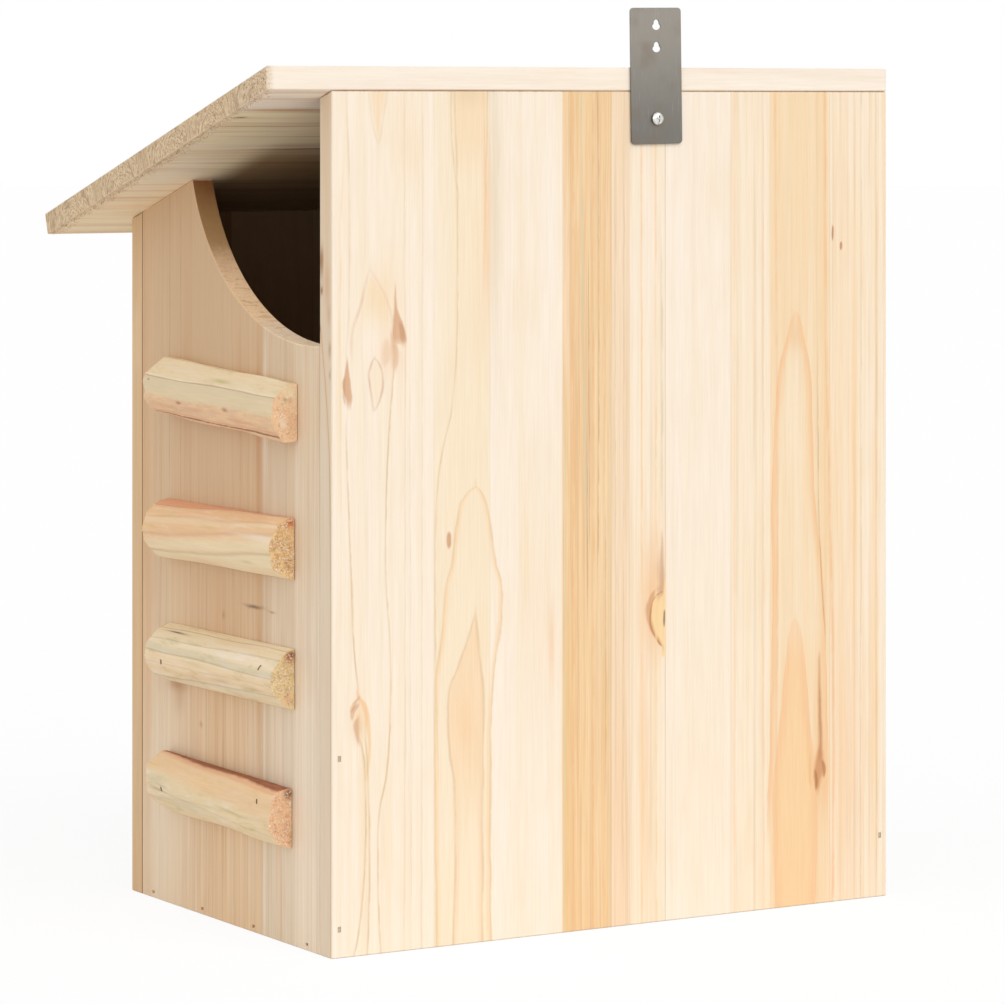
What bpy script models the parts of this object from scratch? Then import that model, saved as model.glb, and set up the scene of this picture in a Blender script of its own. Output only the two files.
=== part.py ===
# A roost and nest box of unfinished softwood: six sawn boards, a ladder of four split rungs under a
# quarter-round entrance, a steel hanger plate that turns on one screw, and the brads that hold it together.
# X runs along the back panel towards the entrance side, Y from the front to the back, Z up.
# The origin lies under the middle of the floor. All lengths are in metres.

import math

import bmesh
import bpy
from mathutils import Matrix, Vector

# Box body
BODY_WIDTH = 0.296  # back panel, edge to edge
BODY_DEPTH = 0.195  # front face to back face
BODY_HEIGHT = 0.387  # ground to the roof's high rear edge
BOARD_THICKNESS = 0.0108  # walls and floor
EASED_EDGE = 0.0004  # broken corner of every sawn board
JOINT_GAP = 0.0003  # hairline between boards, and between a rung or the plate and its board

# Roof board, square-cut at the front and plumb-cut at the back
ROOF_THICKNESS = 0.0100
ROOF_SLOPE = math.radians(17.06)
ROOF_FRONT_OVERHANG = 0.0284  # level distance from the front panel's face
ROOF_SIDE_OVERHANG = 0.0318  # over the ladder; the other end is flush

# Entrance: a quarter of an ellipse out of the upper rear corner of one side panel
SILL_HEIGHT = 0.2646  # lowest point of the cut, above the ground
ENTRANCE_REACH = 0.1167  # half axis of the ellipse, towards the front
ENTRANCE_RISE = 0.0942  # half axis of the ellipse, upwards
ENTRANCE_REAR_RUN = 0.0197  # level distance from the back face to the ellipse's lowest point
ENTRANCE_SEGMENTS = 44

# Brads: flat wire with a small T head, set below the wood's surface
NAIL_HEAD_WIDTH = 0.0019
NAIL_HEAD_THICKNESS = 0.0011
NAIL_HEAD_HEIGHT = 0.0006
NAIL_SHANK_WIDTH = 0.00125
NAIL_SHANK_THICKNESS = 0.0009
NAIL_TIP_LENGTH = 0.0012
NAIL_TIP_SHARE = 0.2  # of the shank's thickness, left at the chisel tip
NAIL_CLEARANCE = 0.00025
WALL_NAIL_LENGTH = 0.025
WALL_NAIL_SINK = 0.0009
CUT_OVERRUN = 0.002  # how far a cutter stands out of the face it enters

# Where the brads of the walls, the floor and the roof go
EDGE_NAIL_INSET = 0.0038  # from the box's side faces, into the side panels' ends
BACK_NAIL_HEIGHTS_ENTRANCE_SIDE = (0.0125, 0.0865)
BACK_NAIL_HEIGHTS_PLAIN_SIDE = (0.0287,)
FRONT_NAIL_COUNT = 3
FRONT_NAIL_FOOT_INSET = 0.0200
FRONT_NAIL_TOP_INSET = 0.0560  # from the front panel's top edge
FLOOR_NAIL_COUNT = 4
FLOOR_NAIL_HEIGHT = 0.0026
FLOOR_NAIL_END_INSET = 0.0115  # from the side panel's ends
ROOF_NAIL_COUNT = 3
ROOF_NAIL_END_INSET = 0.030  # from the box's side faces
ROOF_NAIL_FROM_FRONT_ENTRANCE_SIDE = 0.0355  # along the entrance side, which is short at the top
ROOF_NAIL_FROM_FRONT_PLAIN_SIDE = 0.0975

# Hanger plate and its screw
PLATE_WIDTH = 0.0273
PLATE_HEIGHT = 0.0617
PLATE_THICKNESS = 0.0010
PLATE_CORNER_RADIUS = 0.0018
PLATE_EASED_EDGE = 0.00015
PLATE_LEAN = math.radians(0.8)  # it was screwed on slightly askew
PLATE_OFFSET = 0.0192  # from the box's middle towards the plain side
SCREW_BELOW_ROOF_TOP = 0.0232
SCREW_ABOVE_PLATE_FOOT = 0.0115
SCREW_HEAD_RADIUS = 0.0030
SCREW_HEAD_HEIGHT = 0.0019
SCREW_SHANK_RADIUS = 0.0014
SCREW_LENGTH = 0.0092
SCREW_TIP_LENGTH = 0.0025
SCREW_CLEARANCE = 0.0003
SCREW_SEGMENTS = 28
SCREW_TIP_SHARE = 0.15
SCREW_HEAD_SHARES = ((0.92, 0.0), (1.0, 0.18), (0.97, 0.42), (0.80, 0.74), (0.52, 0.93), (0.24, 1.0))
RECESS_ARM_LENGTH = 0.0016
RECESS_ARM_WIDTH = 0.0007
RECESS_DEPTH = 0.0010
RECESS_FLOOR_SHARE = 0.55
KEYHOLE_WIDTH = 0.0047  # the oval opening for a nail's head
KEYHOLE_HEIGHT = 0.0032
KEYHOLE_SLOT_WIDTH = 0.0032
KEYHOLE_SLOT_RISE = 0.0016  # from the oval's middle to the middle of the slot's round end
KEYHOLE_OFFSET = 0.0004  # punched off the plate's middle line, towards the plain side
KEYHOLES_ABOVE_SCREW = (0.0417, 0.0316)
KEYHOLE_SEGMENTS = 14
CORNER_SEGMENTS = 4

# Ladder rungs, from the top one down: half-round sticks split from small logs, so each one has its own section
# at each end. A section runs from the lower wall corner, round the outside, to the upper wall corner, as shares
# of the rung's depth (out from the wall) and of its height.
RUNG_HEIGHTS = (0.0257, 0.0277, 0.0270, 0.0263)
RUNG_DEPTHS = (0.0128, 0.0124, 0.0120, 0.0116)
RUNG_LENGTHS = (0.1246, 0.1232, 0.1215, 0.1195)
RUNG_REAR_INSETS = (0.0309, 0.0336, 0.0335, 0.0360)  # from the box's back face
RUNG_FEET = (0.2225, 0.1610, 0.1038, 0.0428)  # lower wall corner at the rear end, above the ground
RUNG_FRONT_LIFTS = (0.0054, -0.0006, -0.0004, 0.0014)  # how much higher the front end sits
RUNG_REAR_SHARES = (
    ((0, 0), (0.50, 0), (0.72, 0.12), (0.90, 0.28), (1.0, 0.45),
     (0.96, 0.62), (0.85, 0.75), (0.20, 1.0), (0, 0.97)),
    ((0, 0), (0.42, 0.06), (0.80, 0.19), (1.0, 0.40), (0.99, 0.52),
     (0.90, 0.68), (0.72, 0.88), (0.10, 1.0), (0, 0.98)),
    ((0, 0), (0.34, 0.07), (0.64, 0.17), (0.92, 0.33), (1.0, 0.45),
     (0.93, 0.62), (0.56, 0.86), (0.28, 0.95), (0, 1.0)),
    ((0, 0), (0.32, 0.03), (0.60, 0.11), (0.88, 0.24), (1.0, 0.38),
     (0.97, 0.62), (0.88, 0.82), (0.68, 0.96), (0, 1.0)),
)
RUNG_FRONT_SHARES = (
    ((0, 0), (0.45, 0.01), (0.70, 0.10), (0.96, 0.26), (1.03, 0.42),
     (1.05, 0.60), (0.94, 0.71), (0.22, 1.0), (0, 0.98)),
    ((0, 0), (0.44, 0.04), (0.78, 0.15), (0.98, 0.31), (1.06, 0.48),
     (1.04, 0.62), (0.88, 0.78), (0.46, 0.93), (0, 0.98)),
    ((0, 0), (0.40, 0.06), (0.70, 0.15), (1.06, 0.33), (1.10, 0.46),
     (0.98, 0.66), (0.60, 0.88), (0.30, 0.96), (0, 1.0)),
    ((0, 0), (0.36, 0.04), (0.70, 0.17), (0.98, 0.34), (1.07, 0.52),
     (1.06, 0.66), (0.96, 0.82), (0.44, 1.01), (0, 1.0)),
)
RUNG_STATIONS = 13
SPLIT_WAVE = 0.00035  # how far the facets wander along a rung

# Brads of the rungs: the two upper rungs are nailed from the chamber, the two lower ones from outside
RUNGS_NAILED_FROM_OUTSIDE = (False, False, True, True)
RUNG_NAIL_FRONT_INSETS = (0.0155, 0.0155, 0.0160, 0.0157)  # from the rung's front end
RUNG_NAIL_REAR_INSETS = (0.0155, 0.0155, 0.0127, 0.0128)  # from the rung's rear end
RUNG_NAIL_FRONT_RISES = (0.0128, 0.0138, 0.0111, 0.0118)  # above the rung's foot at that end
RUNG_NAIL_REAR_RISES = (0.0128, 0.0138, 0.0181, 0.0198)
OUTER_NAIL_SINK = 0.0020
OUTER_NAIL_TIP_COVER = 0.0019  # wood left between the brad's tip and the chamber
INNER_NAIL_SINK = 0.0005
INNER_NAIL_BITE = 0.0045  # depth of a brad from the chamber in its rung

# Lengths that follow from the ones above
BACK_FACE = BODY_DEPTH / 2
FRONT_FACE = -BODY_DEPTH / 2
SIDE_FACE = BODY_WIDTH / 2
BACK_INNER_FACE = BACK_FACE - BOARD_THICKNESS
FRONT_INNER_FACE = FRONT_FACE + BOARD_THICKNESS
SIDE_INNER_FACE = SIDE_FACE - BOARD_THICKNESS
SIDE_PANEL_REAR = BACK_INNER_FACE - JOINT_GAP
SIDE_PANEL_FRONT = FRONT_INNER_FACE + JOINT_GAP
SCREW_HEIGHT = BODY_HEIGHT - SCREW_BELOW_ROOF_TOP
PLATE_INNER_FACE = BACK_FACE + JOINT_GAP
PLATE_OUTER_FACE = PLATE_INNER_FACE + PLATE_THICKNESS
SHARP_ANGLE = math.radians(24)
ROOF_NORMAL = Vector((0, -math.sin(ROOF_SLOPE), math.cos(ROOF_SLOPE)))


def roof_top(y):
    return BODY_HEIGHT - (BACK_FACE - y) * math.tan(ROOF_SLOPE)


def roof_underside(y):
    return roof_top(y) - ROOF_THICKNESS / math.cos(ROOF_SLOPE)


def wall_top(y):
    return roof_underside(y) - JOINT_GAP / math.cos(ROOF_SLOPE)


def clear_scene():
    for old in list(bpy.data.objects):
        bpy.data.objects.remove(old)


def finish_material(name, colour, roughness, metallic):
    material = bpy.data.materials.new(name)
    material.use_nodes = True
    shader = material.node_tree.nodes["Principled BSDF"]
    shader.inputs["Base Color"].default_value = (*colour, 1.0)
    shader.inputs["Roughness"].default_value = roughness
    shader.inputs["Metallic"].default_value = metallic
    material.diffuse_color = (*colour, 1.0)
    return material


# Mesh helpers

def loft(rings):
    mesh = bmesh.new()
    loops = [[mesh.verts.new(point) for point in ring] for ring in rings]
    for near, far in zip(loops, loops[1:]):
        for i in range(len(near)):
            j = (i + 1) % len(near)
            mesh.faces.new((near[i], near[j], far[j], far[i]))
    mesh.faces.new(list(reversed(loops[0])))
    mesh.faces.new(loops[-1])
    bmesh.ops.recalc_face_normals(mesh, faces=mesh.faces)
    return mesh


def ease_edges(mesh, width):
    corners = [edge for edge in mesh.edges if edge.calc_face_angle(0) > SHARP_ANGLE]
    bmesh.ops.bevel(mesh, geom=corners, offset=width, segments=1, affect="EDGES")


def to_data(name, mesh):
    # Only faces that belong to a curve are shaded smooth, so flat ones stay flat round the holes cut in them
    curved = [any(edge.calc_face_angle(math.pi) < SHARP_ANGLE for edge in face.edges) for face in mesh.faces]
    data = bpy.data.meshes.new(name)
    mesh.to_mesh(data)
    mesh.free()
    data.set_sharp_from_angle(angle=SHARP_ANGLE)
    data.polygons.foreach_set("use_smooth", curved)
    return data


def place(name, data, material, matrix):
    piece = bpy.data.objects.new(name, data)
    if material and not data.materials:
        data.materials.append(material)
    piece.matrix_world = matrix
    bpy.context.scene.collection.objects.link(piece)
    return piece


def place_cutter(name, data, matrix):
    cutter = place(name, data, None, matrix)
    cutter.hide_render = True
    cutter.display_type = "WIRE"
    return cutter


def cut_holes(piece, cutters):
    holes = bpy.data.collections.new(piece.name + "_holes")
    for cutter in cutters:
        holes.objects.link(cutter)
    modifier = piece.modifiers.new("holes", "BOOLEAN")
    modifier.operation = "DIFFERENCE"
    modifier.operand_type = "COLLECTION"
    modifier.collection = holes
    modifier.solver = "EXACT"


def arc(centre_a, centre_b, radius, start, end, segments):
    points = []
    for i in range(segments + 1):
        angle = start + (end - start) * i / segments
        points.append((centre_a + radius * math.cos(angle), centre_b + radius * math.sin(angle)))
    return points


# Boards: every one has its outline in the Y-Z plane and runs straight along X

def make_board(name, outline, x_low, x_high, colour):
    width = x_high - x_low
    rings = [[(x, y, z) for y, z in outline] for x in (0, width)]
    mesh = loft(rings)
    ease_edges(mesh, EASED_EDGE)
    wood = finish_material(name + "_wood", colour, 0.62, 0.0)
    return place(name, to_data(name, mesh), wood, Matrix.Translation((x_low, 0, 0)))


def wall_outline(y_low, y_high):
    return [(y_low, 0), (y_high, 0), (y_high, wall_top(y_high)), (y_low, wall_top(y_low))]


def entrance_curve():
    # From the rear end of the panel, down over the sill and up to the roof
    centre_y = BACK_FACE - ENTRANCE_REAR_RUN
    centre_z = SILL_HEIGHT + ENTRANCE_RISE
    slope = math.tan(ROOF_SLOPE)
    swing = math.hypot(ENTRANCE_RISE, slope * ENTRANCE_REACH)
    offset = centre_z - wall_top(centre_y)
    top_angle = math.acos(offset / swing) - math.atan2(slope * ENTRANCE_REACH, ENTRANCE_RISE)
    rear_angle = -math.asin((SIDE_PANEL_REAR - centre_y) / ENTRANCE_REACH)
    points = []
    for i in range(ENTRANCE_SEGMENTS + 1):
        angle = rear_angle + (top_angle - rear_angle) * i / ENTRANCE_SEGMENTS
        y = centre_y - ENTRANCE_REACH * math.sin(angle)
        z = centre_z - ENTRANCE_RISE * math.cos(angle)
        points.append((y, z))
    return points


def make_boards():
    boards = {}
    boards["back_panel"] = make_board(
        "back_panel", wall_outline(BACK_INNER_FACE, BACK_FACE), -SIDE_FACE, SIDE_FACE, (0.86, 0.74, 0.57))
    boards["front_panel"] = make_board(
        "front_panel", wall_outline(FRONT_FACE, FRONT_INNER_FACE), -SIDE_FACE, SIDE_FACE, (0.84, 0.71, 0.53))
    boards["plain_side_panel"] = make_board(
        "plain_side_panel", wall_outline(SIDE_PANEL_FRONT, SIDE_PANEL_REAR),
        -SIDE_FACE, -SIDE_INNER_FACE, (0.83, 0.70, 0.52))
    entrance_side = [(SIDE_PANEL_FRONT, 0), (SIDE_PANEL_REAR, 0)] + entrance_curve()
    entrance_side.append((SIDE_PANEL_FRONT, wall_top(SIDE_PANEL_FRONT)))
    boards["entrance_side_panel"] = make_board(
        "entrance_side_panel", entrance_side, SIDE_INNER_FACE, SIDE_FACE, (0.82, 0.69, 0.51))
    floor = [(SIDE_PANEL_FRONT, 0), (SIDE_PANEL_REAR, 0),
             (SIDE_PANEL_REAR, BOARD_THICKNESS), (SIDE_PANEL_FRONT, BOARD_THICKNESS)]
    floor_end = SIDE_INNER_FACE - JOINT_GAP
    boards["floor_panel"] = make_board("floor_panel", floor, -floor_end, floor_end, (0.80, 0.67, 0.50))
    eave = FRONT_FACE - ROOF_FRONT_OVERHANG
    eave_foot = Vector((0, eave, roof_top(eave))) - ROOF_NORMAL * ROOF_THICKNESS
    roof = [(eave_foot.y, eave_foot.z), (BACK_FACE, roof_underside(BACK_FACE)),
            (BACK_FACE, roof_top(BACK_FACE)), (eave, roof_top(eave))]
    boards["roof_panel"] = make_board(
        "roof_panel", roof, -SIDE_FACE, SIDE_FACE + ROOF_SIDE_OVERHANG, (0.85, 0.73, 0.56))
    return boards


# Rungs

def rung_point(rung, station_share, corner):
    rear = RUNG_REAR_SHARES[rung][corner]
    front = RUNG_FRONT_SHARES[rung][corner]
    depth = RUNG_DEPTHS[rung] * (rear[0] + (front[0] - rear[0]) * station_share)
    height = RUNG_HEIGHTS[rung] * (rear[1] + (front[1] - rear[1]) * station_share)
    on_wall = corner in (0, len(RUNG_REAR_SHARES[rung]) - 1)
    phase = 0.37 * corner + 0.61 * rung
    if not on_wall:
        depth += SPLIT_WAVE * math.sin(math.tau * (1.3 * station_share + phase))
        height += SPLIT_WAVE * math.cos(math.tau * (1.7 * station_share + phase))
    lift = RUNG_FRONT_LIFTS[rung] * station_share
    return (depth, -RUNG_LENGTHS[rung] * station_share, height + lift)


def make_rungs():
    rungs = {}
    for rung, foot in enumerate(RUNG_FEET):
        name = f"rung_{rung + 1}"
        rings = []
        for station in range(RUNG_STATIONS):
            share = station / (RUNG_STATIONS - 1)
            rings.append([rung_point(rung, share, i) for i in range(len(RUNG_REAR_SHARES[rung]))])
        wood = finish_material(name + "_wood", (0.78, 0.62, 0.42), 0.68, 0.0)
        corner = Matrix.Translation((SIDE_FACE + JOINT_GAP, BACK_FACE - RUNG_REAR_INSETS[rung], foot))
        rungs[name] = place(name, to_data(name, loft(rings)), wood, corner)
    return rungs


# Brads: each is driven along its own local -Z, with its T head along local X

def nail_ring(half_width, half_thickness, depth):
    return [(-half_width, -half_thickness, -depth), (half_width, -half_thickness, -depth),
            (half_width, half_thickness, -depth), (-half_width, half_thickness, -depth)]


def nail_data(name, length, sink):
    head = (NAIL_HEAD_WIDTH / 2, NAIL_HEAD_THICKNESS / 2)
    shank = (NAIL_SHANK_WIDTH / 2, NAIL_SHANK_THICKNESS / 2)
    under_head = sink + NAIL_HEAD_HEIGHT
    tip = sink + length
    rings = [nail_ring(*head, sink), nail_ring(*head, under_head), nail_ring(*shank, under_head),
             nail_ring(*shank, tip - NAIL_TIP_LENGTH), nail_ring(shank[0], shank[1] * NAIL_TIP_SHARE, tip)]
    return to_data(name, loft(rings))


def nail_hole_data(name, length, sink):
    head = (NAIL_HEAD_WIDTH / 2 + NAIL_CLEARANCE, NAIL_HEAD_THICKNESS / 2 + NAIL_CLEARANCE)
    shank = (NAIL_SHANK_WIDTH / 2 + NAIL_CLEARANCE, NAIL_SHANK_THICKNESS / 2 + NAIL_CLEARANCE)
    under_head = sink + NAIL_HEAD_HEIGHT + NAIL_CLEARANCE
    rings = [nail_ring(*head, -CUT_OVERRUN), nail_ring(*head, under_head),
             nail_ring(*shank, under_head), nail_ring(*shank, sink + length + NAIL_CLEARANCE)]
    return to_data(name, loft(rings))


def aim(point, direction, head_line):
    # Local -Z looks along the drive direction, and local X lies along the T head
    back = -Vector(direction).normalized()
    across = Vector(head_line)
    across = (across - back * across.dot(back)).normalized()
    third = back.cross(across)
    turn = Matrix((across, third, back)).transposed()
    return Matrix.Translation(point) @ turn.to_4x4()


def spread(low, high, count):
    return [low + (high - low) * i / (count - 1) for i in range(count)]


def wall_nails():
    # Name, where it enters, which way it is driven, how its head lies, and the two boards that it joins
    nails = []
    inset = SIDE_FACE - EDGE_NAIL_INSET
    for side, x, heights in (("entrance", inset, BACK_NAIL_HEIGHTS_ENTRANCE_SIDE),
                             ("plain", -inset, BACK_NAIL_HEIGHTS_PLAIN_SIDE)):
        for number, z in enumerate(heights, 1):
            nails.append((f"back_nail_{side}_side_{number}", (x, BACK_FACE, z), (0, -1, 0), (0, 0, 1),
                          ("back_panel", side + "_side_panel")))
    heights = spread(FRONT_NAIL_FOOT_INSET, wall_top(FRONT_FACE) - FRONT_NAIL_TOP_INSET, FRONT_NAIL_COUNT)
    for side, x in (("entrance", inset), ("plain", -inset)):
        for number, z in enumerate(heights, 1):
            nails.append((f"front_nail_{side}_side_{number}", (x, FRONT_FACE, z), (0, 1, 0), (0, 0, 1),
                          ("front_panel", side + "_side_panel")))
    places = spread(SIDE_PANEL_FRONT + FLOOR_NAIL_END_INSET, SIDE_PANEL_REAR - FLOOR_NAIL_END_INSET,
                    FLOOR_NAIL_COUNT)
    for side, sign in (("entrance", 1), ("plain", -1)):
        for number, y in enumerate(places, 1):
            nails.append((f"floor_nail_{side}_side_{number}", (sign * SIDE_FACE, y, FLOOR_NAIL_HEIGHT),
                          (-sign, 0, 0), (0, 1, 0), (side + "_side_panel", "floor_panel")))
    return nails


def roof_nails():
    # Driven square to the roof, so that each one is centred in the wall's top halfway down its grip
    nails = []
    grip_middle = (ROOF_THICKNESS + WALL_NAIL_SINK + WALL_NAIL_LENGTH) / 2
    drift = grip_middle * math.sin(ROOF_SLOPE)
    for wall, wall_middle in (("back", BACK_FACE - BOARD_THICKNESS / 2),
                              ("front", FRONT_FACE + BOARD_THICKNESS / 2)):
        y = wall_middle - drift
        inset = SIDE_FACE - ROOF_NAIL_END_INSET
        for number, x in enumerate(spread(-inset, inset, ROOF_NAIL_COUNT), 1):
            nails.append((f"roof_nail_{wall}_{number}", (x, y, roof_top(y)), -ROOF_NORMAL, (1, 0, 0),
                          ("roof_panel", wall + "_panel")))
    middle = SIDE_FACE - BOARD_THICKNESS / 2
    for side, x, from_front in (("entrance", middle, ROOF_NAIL_FROM_FRONT_ENTRANCE_SIDE),
                                ("plain", -middle, ROOF_NAIL_FROM_FRONT_PLAIN_SIDE)):
        y = FRONT_FACE + from_front
        nails.append((f"roof_nail_{side}_side", (x, y - drift, roof_top(y - drift)), -ROOF_NORMAL, (0, 1, 0),
                      ("roof_panel", side + "_side_panel")))
    return nails


def rung_nails():
    # Each entry is as in the walls, and ends with the brad's length and sink
    nails = []
    through = JOINT_GAP + BOARD_THICKNESS
    for rung, foot in enumerate(RUNG_FEET):
        rear = BACK_FACE - RUNG_REAR_INSETS[rung]
        front = rear - RUNG_LENGTHS[rung]
        if RUNGS_NAILED_FROM_OUTSIDE[rung]:
            x = SIDE_FACE + JOINT_GAP + RUNG_DEPTHS[rung]
            drive = (-1, 0, 0)
            sink = OUTER_NAIL_SINK
            length = RUNG_DEPTHS[rung] + through - sink - OUTER_NAIL_TIP_COVER
        else:
            x = SIDE_INNER_FACE
            drive = (1, 0, 0)
            sink = INNER_NAIL_SINK
            length = through - sink + INNER_NAIL_BITE
        front_foot = foot + RUNG_FRONT_LIFTS[rung]
        front_nail = (front + RUNG_NAIL_FRONT_INSETS[rung], front_foot + RUNG_NAIL_FRONT_RISES[rung])
        rear_nail = (rear - RUNG_NAIL_REAR_INSETS[rung], foot + RUNG_NAIL_REAR_RISES[rung])
        for end, (y, z) in (("front", front_nail), ("rear", rear_nail)):
            nails.append((f"rung_{rung + 1}_nail_{end}", (x, y, z), drive, (0, 0, 1),
                          ("entrance_side_panel", f"rung_{rung + 1}"), length, sink))
    return nails


def make_nails():
    steel = finish_material("nail_steel", (0.46, 0.45, 0.43), 0.35, 1.0)
    holes = {}
    shapes = {}
    nails = [nail + (WALL_NAIL_LENGTH, WALL_NAIL_SINK) for nail in wall_nails() + roof_nails()]
    for name, point, drive, head_line, joined, length, sink in nails + rung_nails():
        size = (length, sink)
        if size not in shapes:
            shapes[size] = (nail_data("nail", *size), nail_hole_data("nail_hole", *size))
        nail, hole = shapes[size]
        matrix = aim(point, drive, head_line)
        place(name, nail, steel, matrix)
        cutter = place_cutter(name + "_hole", hole, matrix)
        for board in joined:
            holes.setdefault(board, []).append(cutter)
    return holes


# Hanger plate, its keyholes and its screw: all drawn in the X-Z plane round the screw's axis, and run along Y

def across_plate(outline, y_low, y_high):
    return loft([[(x, y, z) for x, z in outline] for y in (y_low, y_high)])


def circle(radius, segments):
    return arc(0, 0, radius, 0, math.tau, segments)[:-1]


def keyhole_outline(height):
    # A low oval that a nail's head passes, with a narrower slot above it that the nail drops into
    meet = math.acos(KEYHOLE_SLOT_WIDTH / KEYHOLE_WIDTH)
    oval = [(x * KEYHOLE_WIDTH / 2, height + z * KEYHOLE_HEIGHT / 2)
            for x, z in arc(0, 0, 1, meet, -math.pi - meet, KEYHOLE_SEGMENTS)]
    slot_end = arc(0, height + KEYHOLE_SLOT_RISE, KEYHOLE_SLOT_WIDTH / 2, math.pi, 0, KEYHOLE_SEGMENTS // 2)
    return [(x - KEYHOLE_OFFSET, z) for x, z in oval + slot_end]


def plate_outline():
    right = PLATE_WIDTH / 2 - PLATE_CORNER_RADIUS
    top = PLATE_HEIGHT - SCREW_ABOVE_PLATE_FOOT - PLATE_CORNER_RADIUS
    foot = -SCREW_ABOVE_PLATE_FOOT + PLATE_CORNER_RADIUS
    outline = []
    for i, (x, z) in enumerate(((right, top), (-right, top), (-right, foot), (right, foot))):
        start = math.pi / 2 * i
        outline += arc(x, z, PLATE_CORNER_RADIUS, start, start + math.pi / 2, CORNER_SEGMENTS)
    return outline


def make_plate():
    zinc = finish_material("hanger_zinc", (0.42, 0.41, 0.39), 0.38, 1.0)
    pivot = Matrix.Translation((-PLATE_OFFSET, 0, SCREW_HEIGHT)) @ Matrix.Rotation(PLATE_LEAN, 4, "Y")
    mesh = across_plate(plate_outline(), PLATE_INNER_FACE, PLATE_OUTER_FACE)
    ease_edges(mesh, PLATE_EASED_EDGE)
    plate = place("hanger_plate", to_data("hanger_plate", mesh), zinc, pivot)
    low = PLATE_INNER_FACE - CUT_OVERRUN
    high = PLATE_OUTER_FACE + CUT_OVERRUN
    cutters = []
    for number, height in enumerate(KEYHOLES_ABOVE_SCREW, 1):
        opening = to_data("keyhole", across_plate(keyhole_outline(height), low, high))
        cutters.append(place_cutter(f"keyhole_{number}", opening, pivot))
    bore = across_plate(circle(SCREW_SHANK_RADIUS + SCREW_CLEARANCE, SCREW_SEGMENTS), low, high)
    cutters.append(place_cutter("plate_bore", to_data("plate_bore", bore), pivot))
    cut_holes(plate, cutters)


def screw_recess():
    # A cross of four arms that narrow towards the bottom
    long = RECESS_ARM_LENGTH
    half = RECESS_ARM_WIDTH / 2
    cross = [(long, -half), (long, half), (half, half), (half, long), (-half, long), (-half, half),
             (-long, half), (-long, -half), (-half, -half), (-half, -long), (half, -long), (half, -half)]
    head_top = PLATE_OUTER_FACE + JOINT_GAP + SCREW_HEAD_HEIGHT
    floor = [(x * RECESS_FLOOR_SHARE, z * RECESS_FLOOR_SHARE) for x, z in cross]
    levels = ((cross, head_top + CUT_OVERRUN), (cross, head_top), (floor, head_top - RECESS_DEPTH))
    return loft([[(x, y, z) for x, z in outline] for outline, y in levels])


def make_screw():
    steel = finish_material("screw_steel", (0.72, 0.72, 0.70), 0.22, 1.0)
    pivot = Matrix.Translation((-PLATE_OFFSET, 0, SCREW_HEIGHT))
    seat = PLATE_OUTER_FACE + JOINT_GAP
    tip = seat - SCREW_LENGTH
    profile = [(SCREW_SHANK_RADIUS * SCREW_TIP_SHARE, tip), (SCREW_SHANK_RADIUS, tip + SCREW_TIP_LENGTH),
               (SCREW_SHANK_RADIUS, seat)]
    profile += [(SCREW_HEAD_RADIUS * out, seat + SCREW_HEAD_HEIGHT * up) for out, up in SCREW_HEAD_SHARES]
    rings = [[(x, y, z) for x, z in circle(radius, SCREW_SEGMENTS)] for radius, y in profile]
    screw = place("hanger_screw", to_data("hanger_screw", loft(rings)), steel, pivot)
    cut_holes(screw, [place_cutter("screw_recess", to_data("screw_recess", screw_recess()), pivot)])
    pilot_end = tip - SCREW_CLEARANCE
    pilot = across_plate(circle(SCREW_SHANK_RADIUS + SCREW_CLEARANCE, SCREW_SEGMENTS),
                         pilot_end, BACK_FACE + CUT_OVERRUN)
    return place_cutter("screw_pilot", to_data("screw_pilot", pilot), pivot)


def main():
    clear_scene()
    pieces = make_boards()
    pieces.update(make_rungs())
    holes = make_nails()
    make_plate()
    holes["back_panel"].append(make_screw())
    for name, cutters in holes.items():
        cut_holes(pieces[name], cutters)


main()
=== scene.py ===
import math

import bmesh
import bpy
import numpy as np
from mathutils import Euler, Matrix, Vector


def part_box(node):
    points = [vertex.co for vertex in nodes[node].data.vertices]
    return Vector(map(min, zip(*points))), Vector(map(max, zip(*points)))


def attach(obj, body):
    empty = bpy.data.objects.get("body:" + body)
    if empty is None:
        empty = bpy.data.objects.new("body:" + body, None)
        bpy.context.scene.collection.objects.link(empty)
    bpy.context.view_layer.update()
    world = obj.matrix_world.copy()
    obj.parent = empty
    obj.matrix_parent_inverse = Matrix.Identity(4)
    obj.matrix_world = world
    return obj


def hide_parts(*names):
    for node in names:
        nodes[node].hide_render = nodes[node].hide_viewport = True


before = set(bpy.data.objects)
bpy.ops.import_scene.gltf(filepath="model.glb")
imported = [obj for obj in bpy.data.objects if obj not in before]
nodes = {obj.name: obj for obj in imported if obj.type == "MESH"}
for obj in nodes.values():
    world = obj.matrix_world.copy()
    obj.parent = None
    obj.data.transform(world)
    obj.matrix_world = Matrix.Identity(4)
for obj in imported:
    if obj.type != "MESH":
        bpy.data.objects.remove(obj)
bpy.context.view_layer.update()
scene = bpy.context.scene
print("frame loaded:", len(nodes), "nodes")

# lengths in the dictionaries of the wood are in millimetres, because grain is read in millimetres
perMetre = 1000.0

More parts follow.
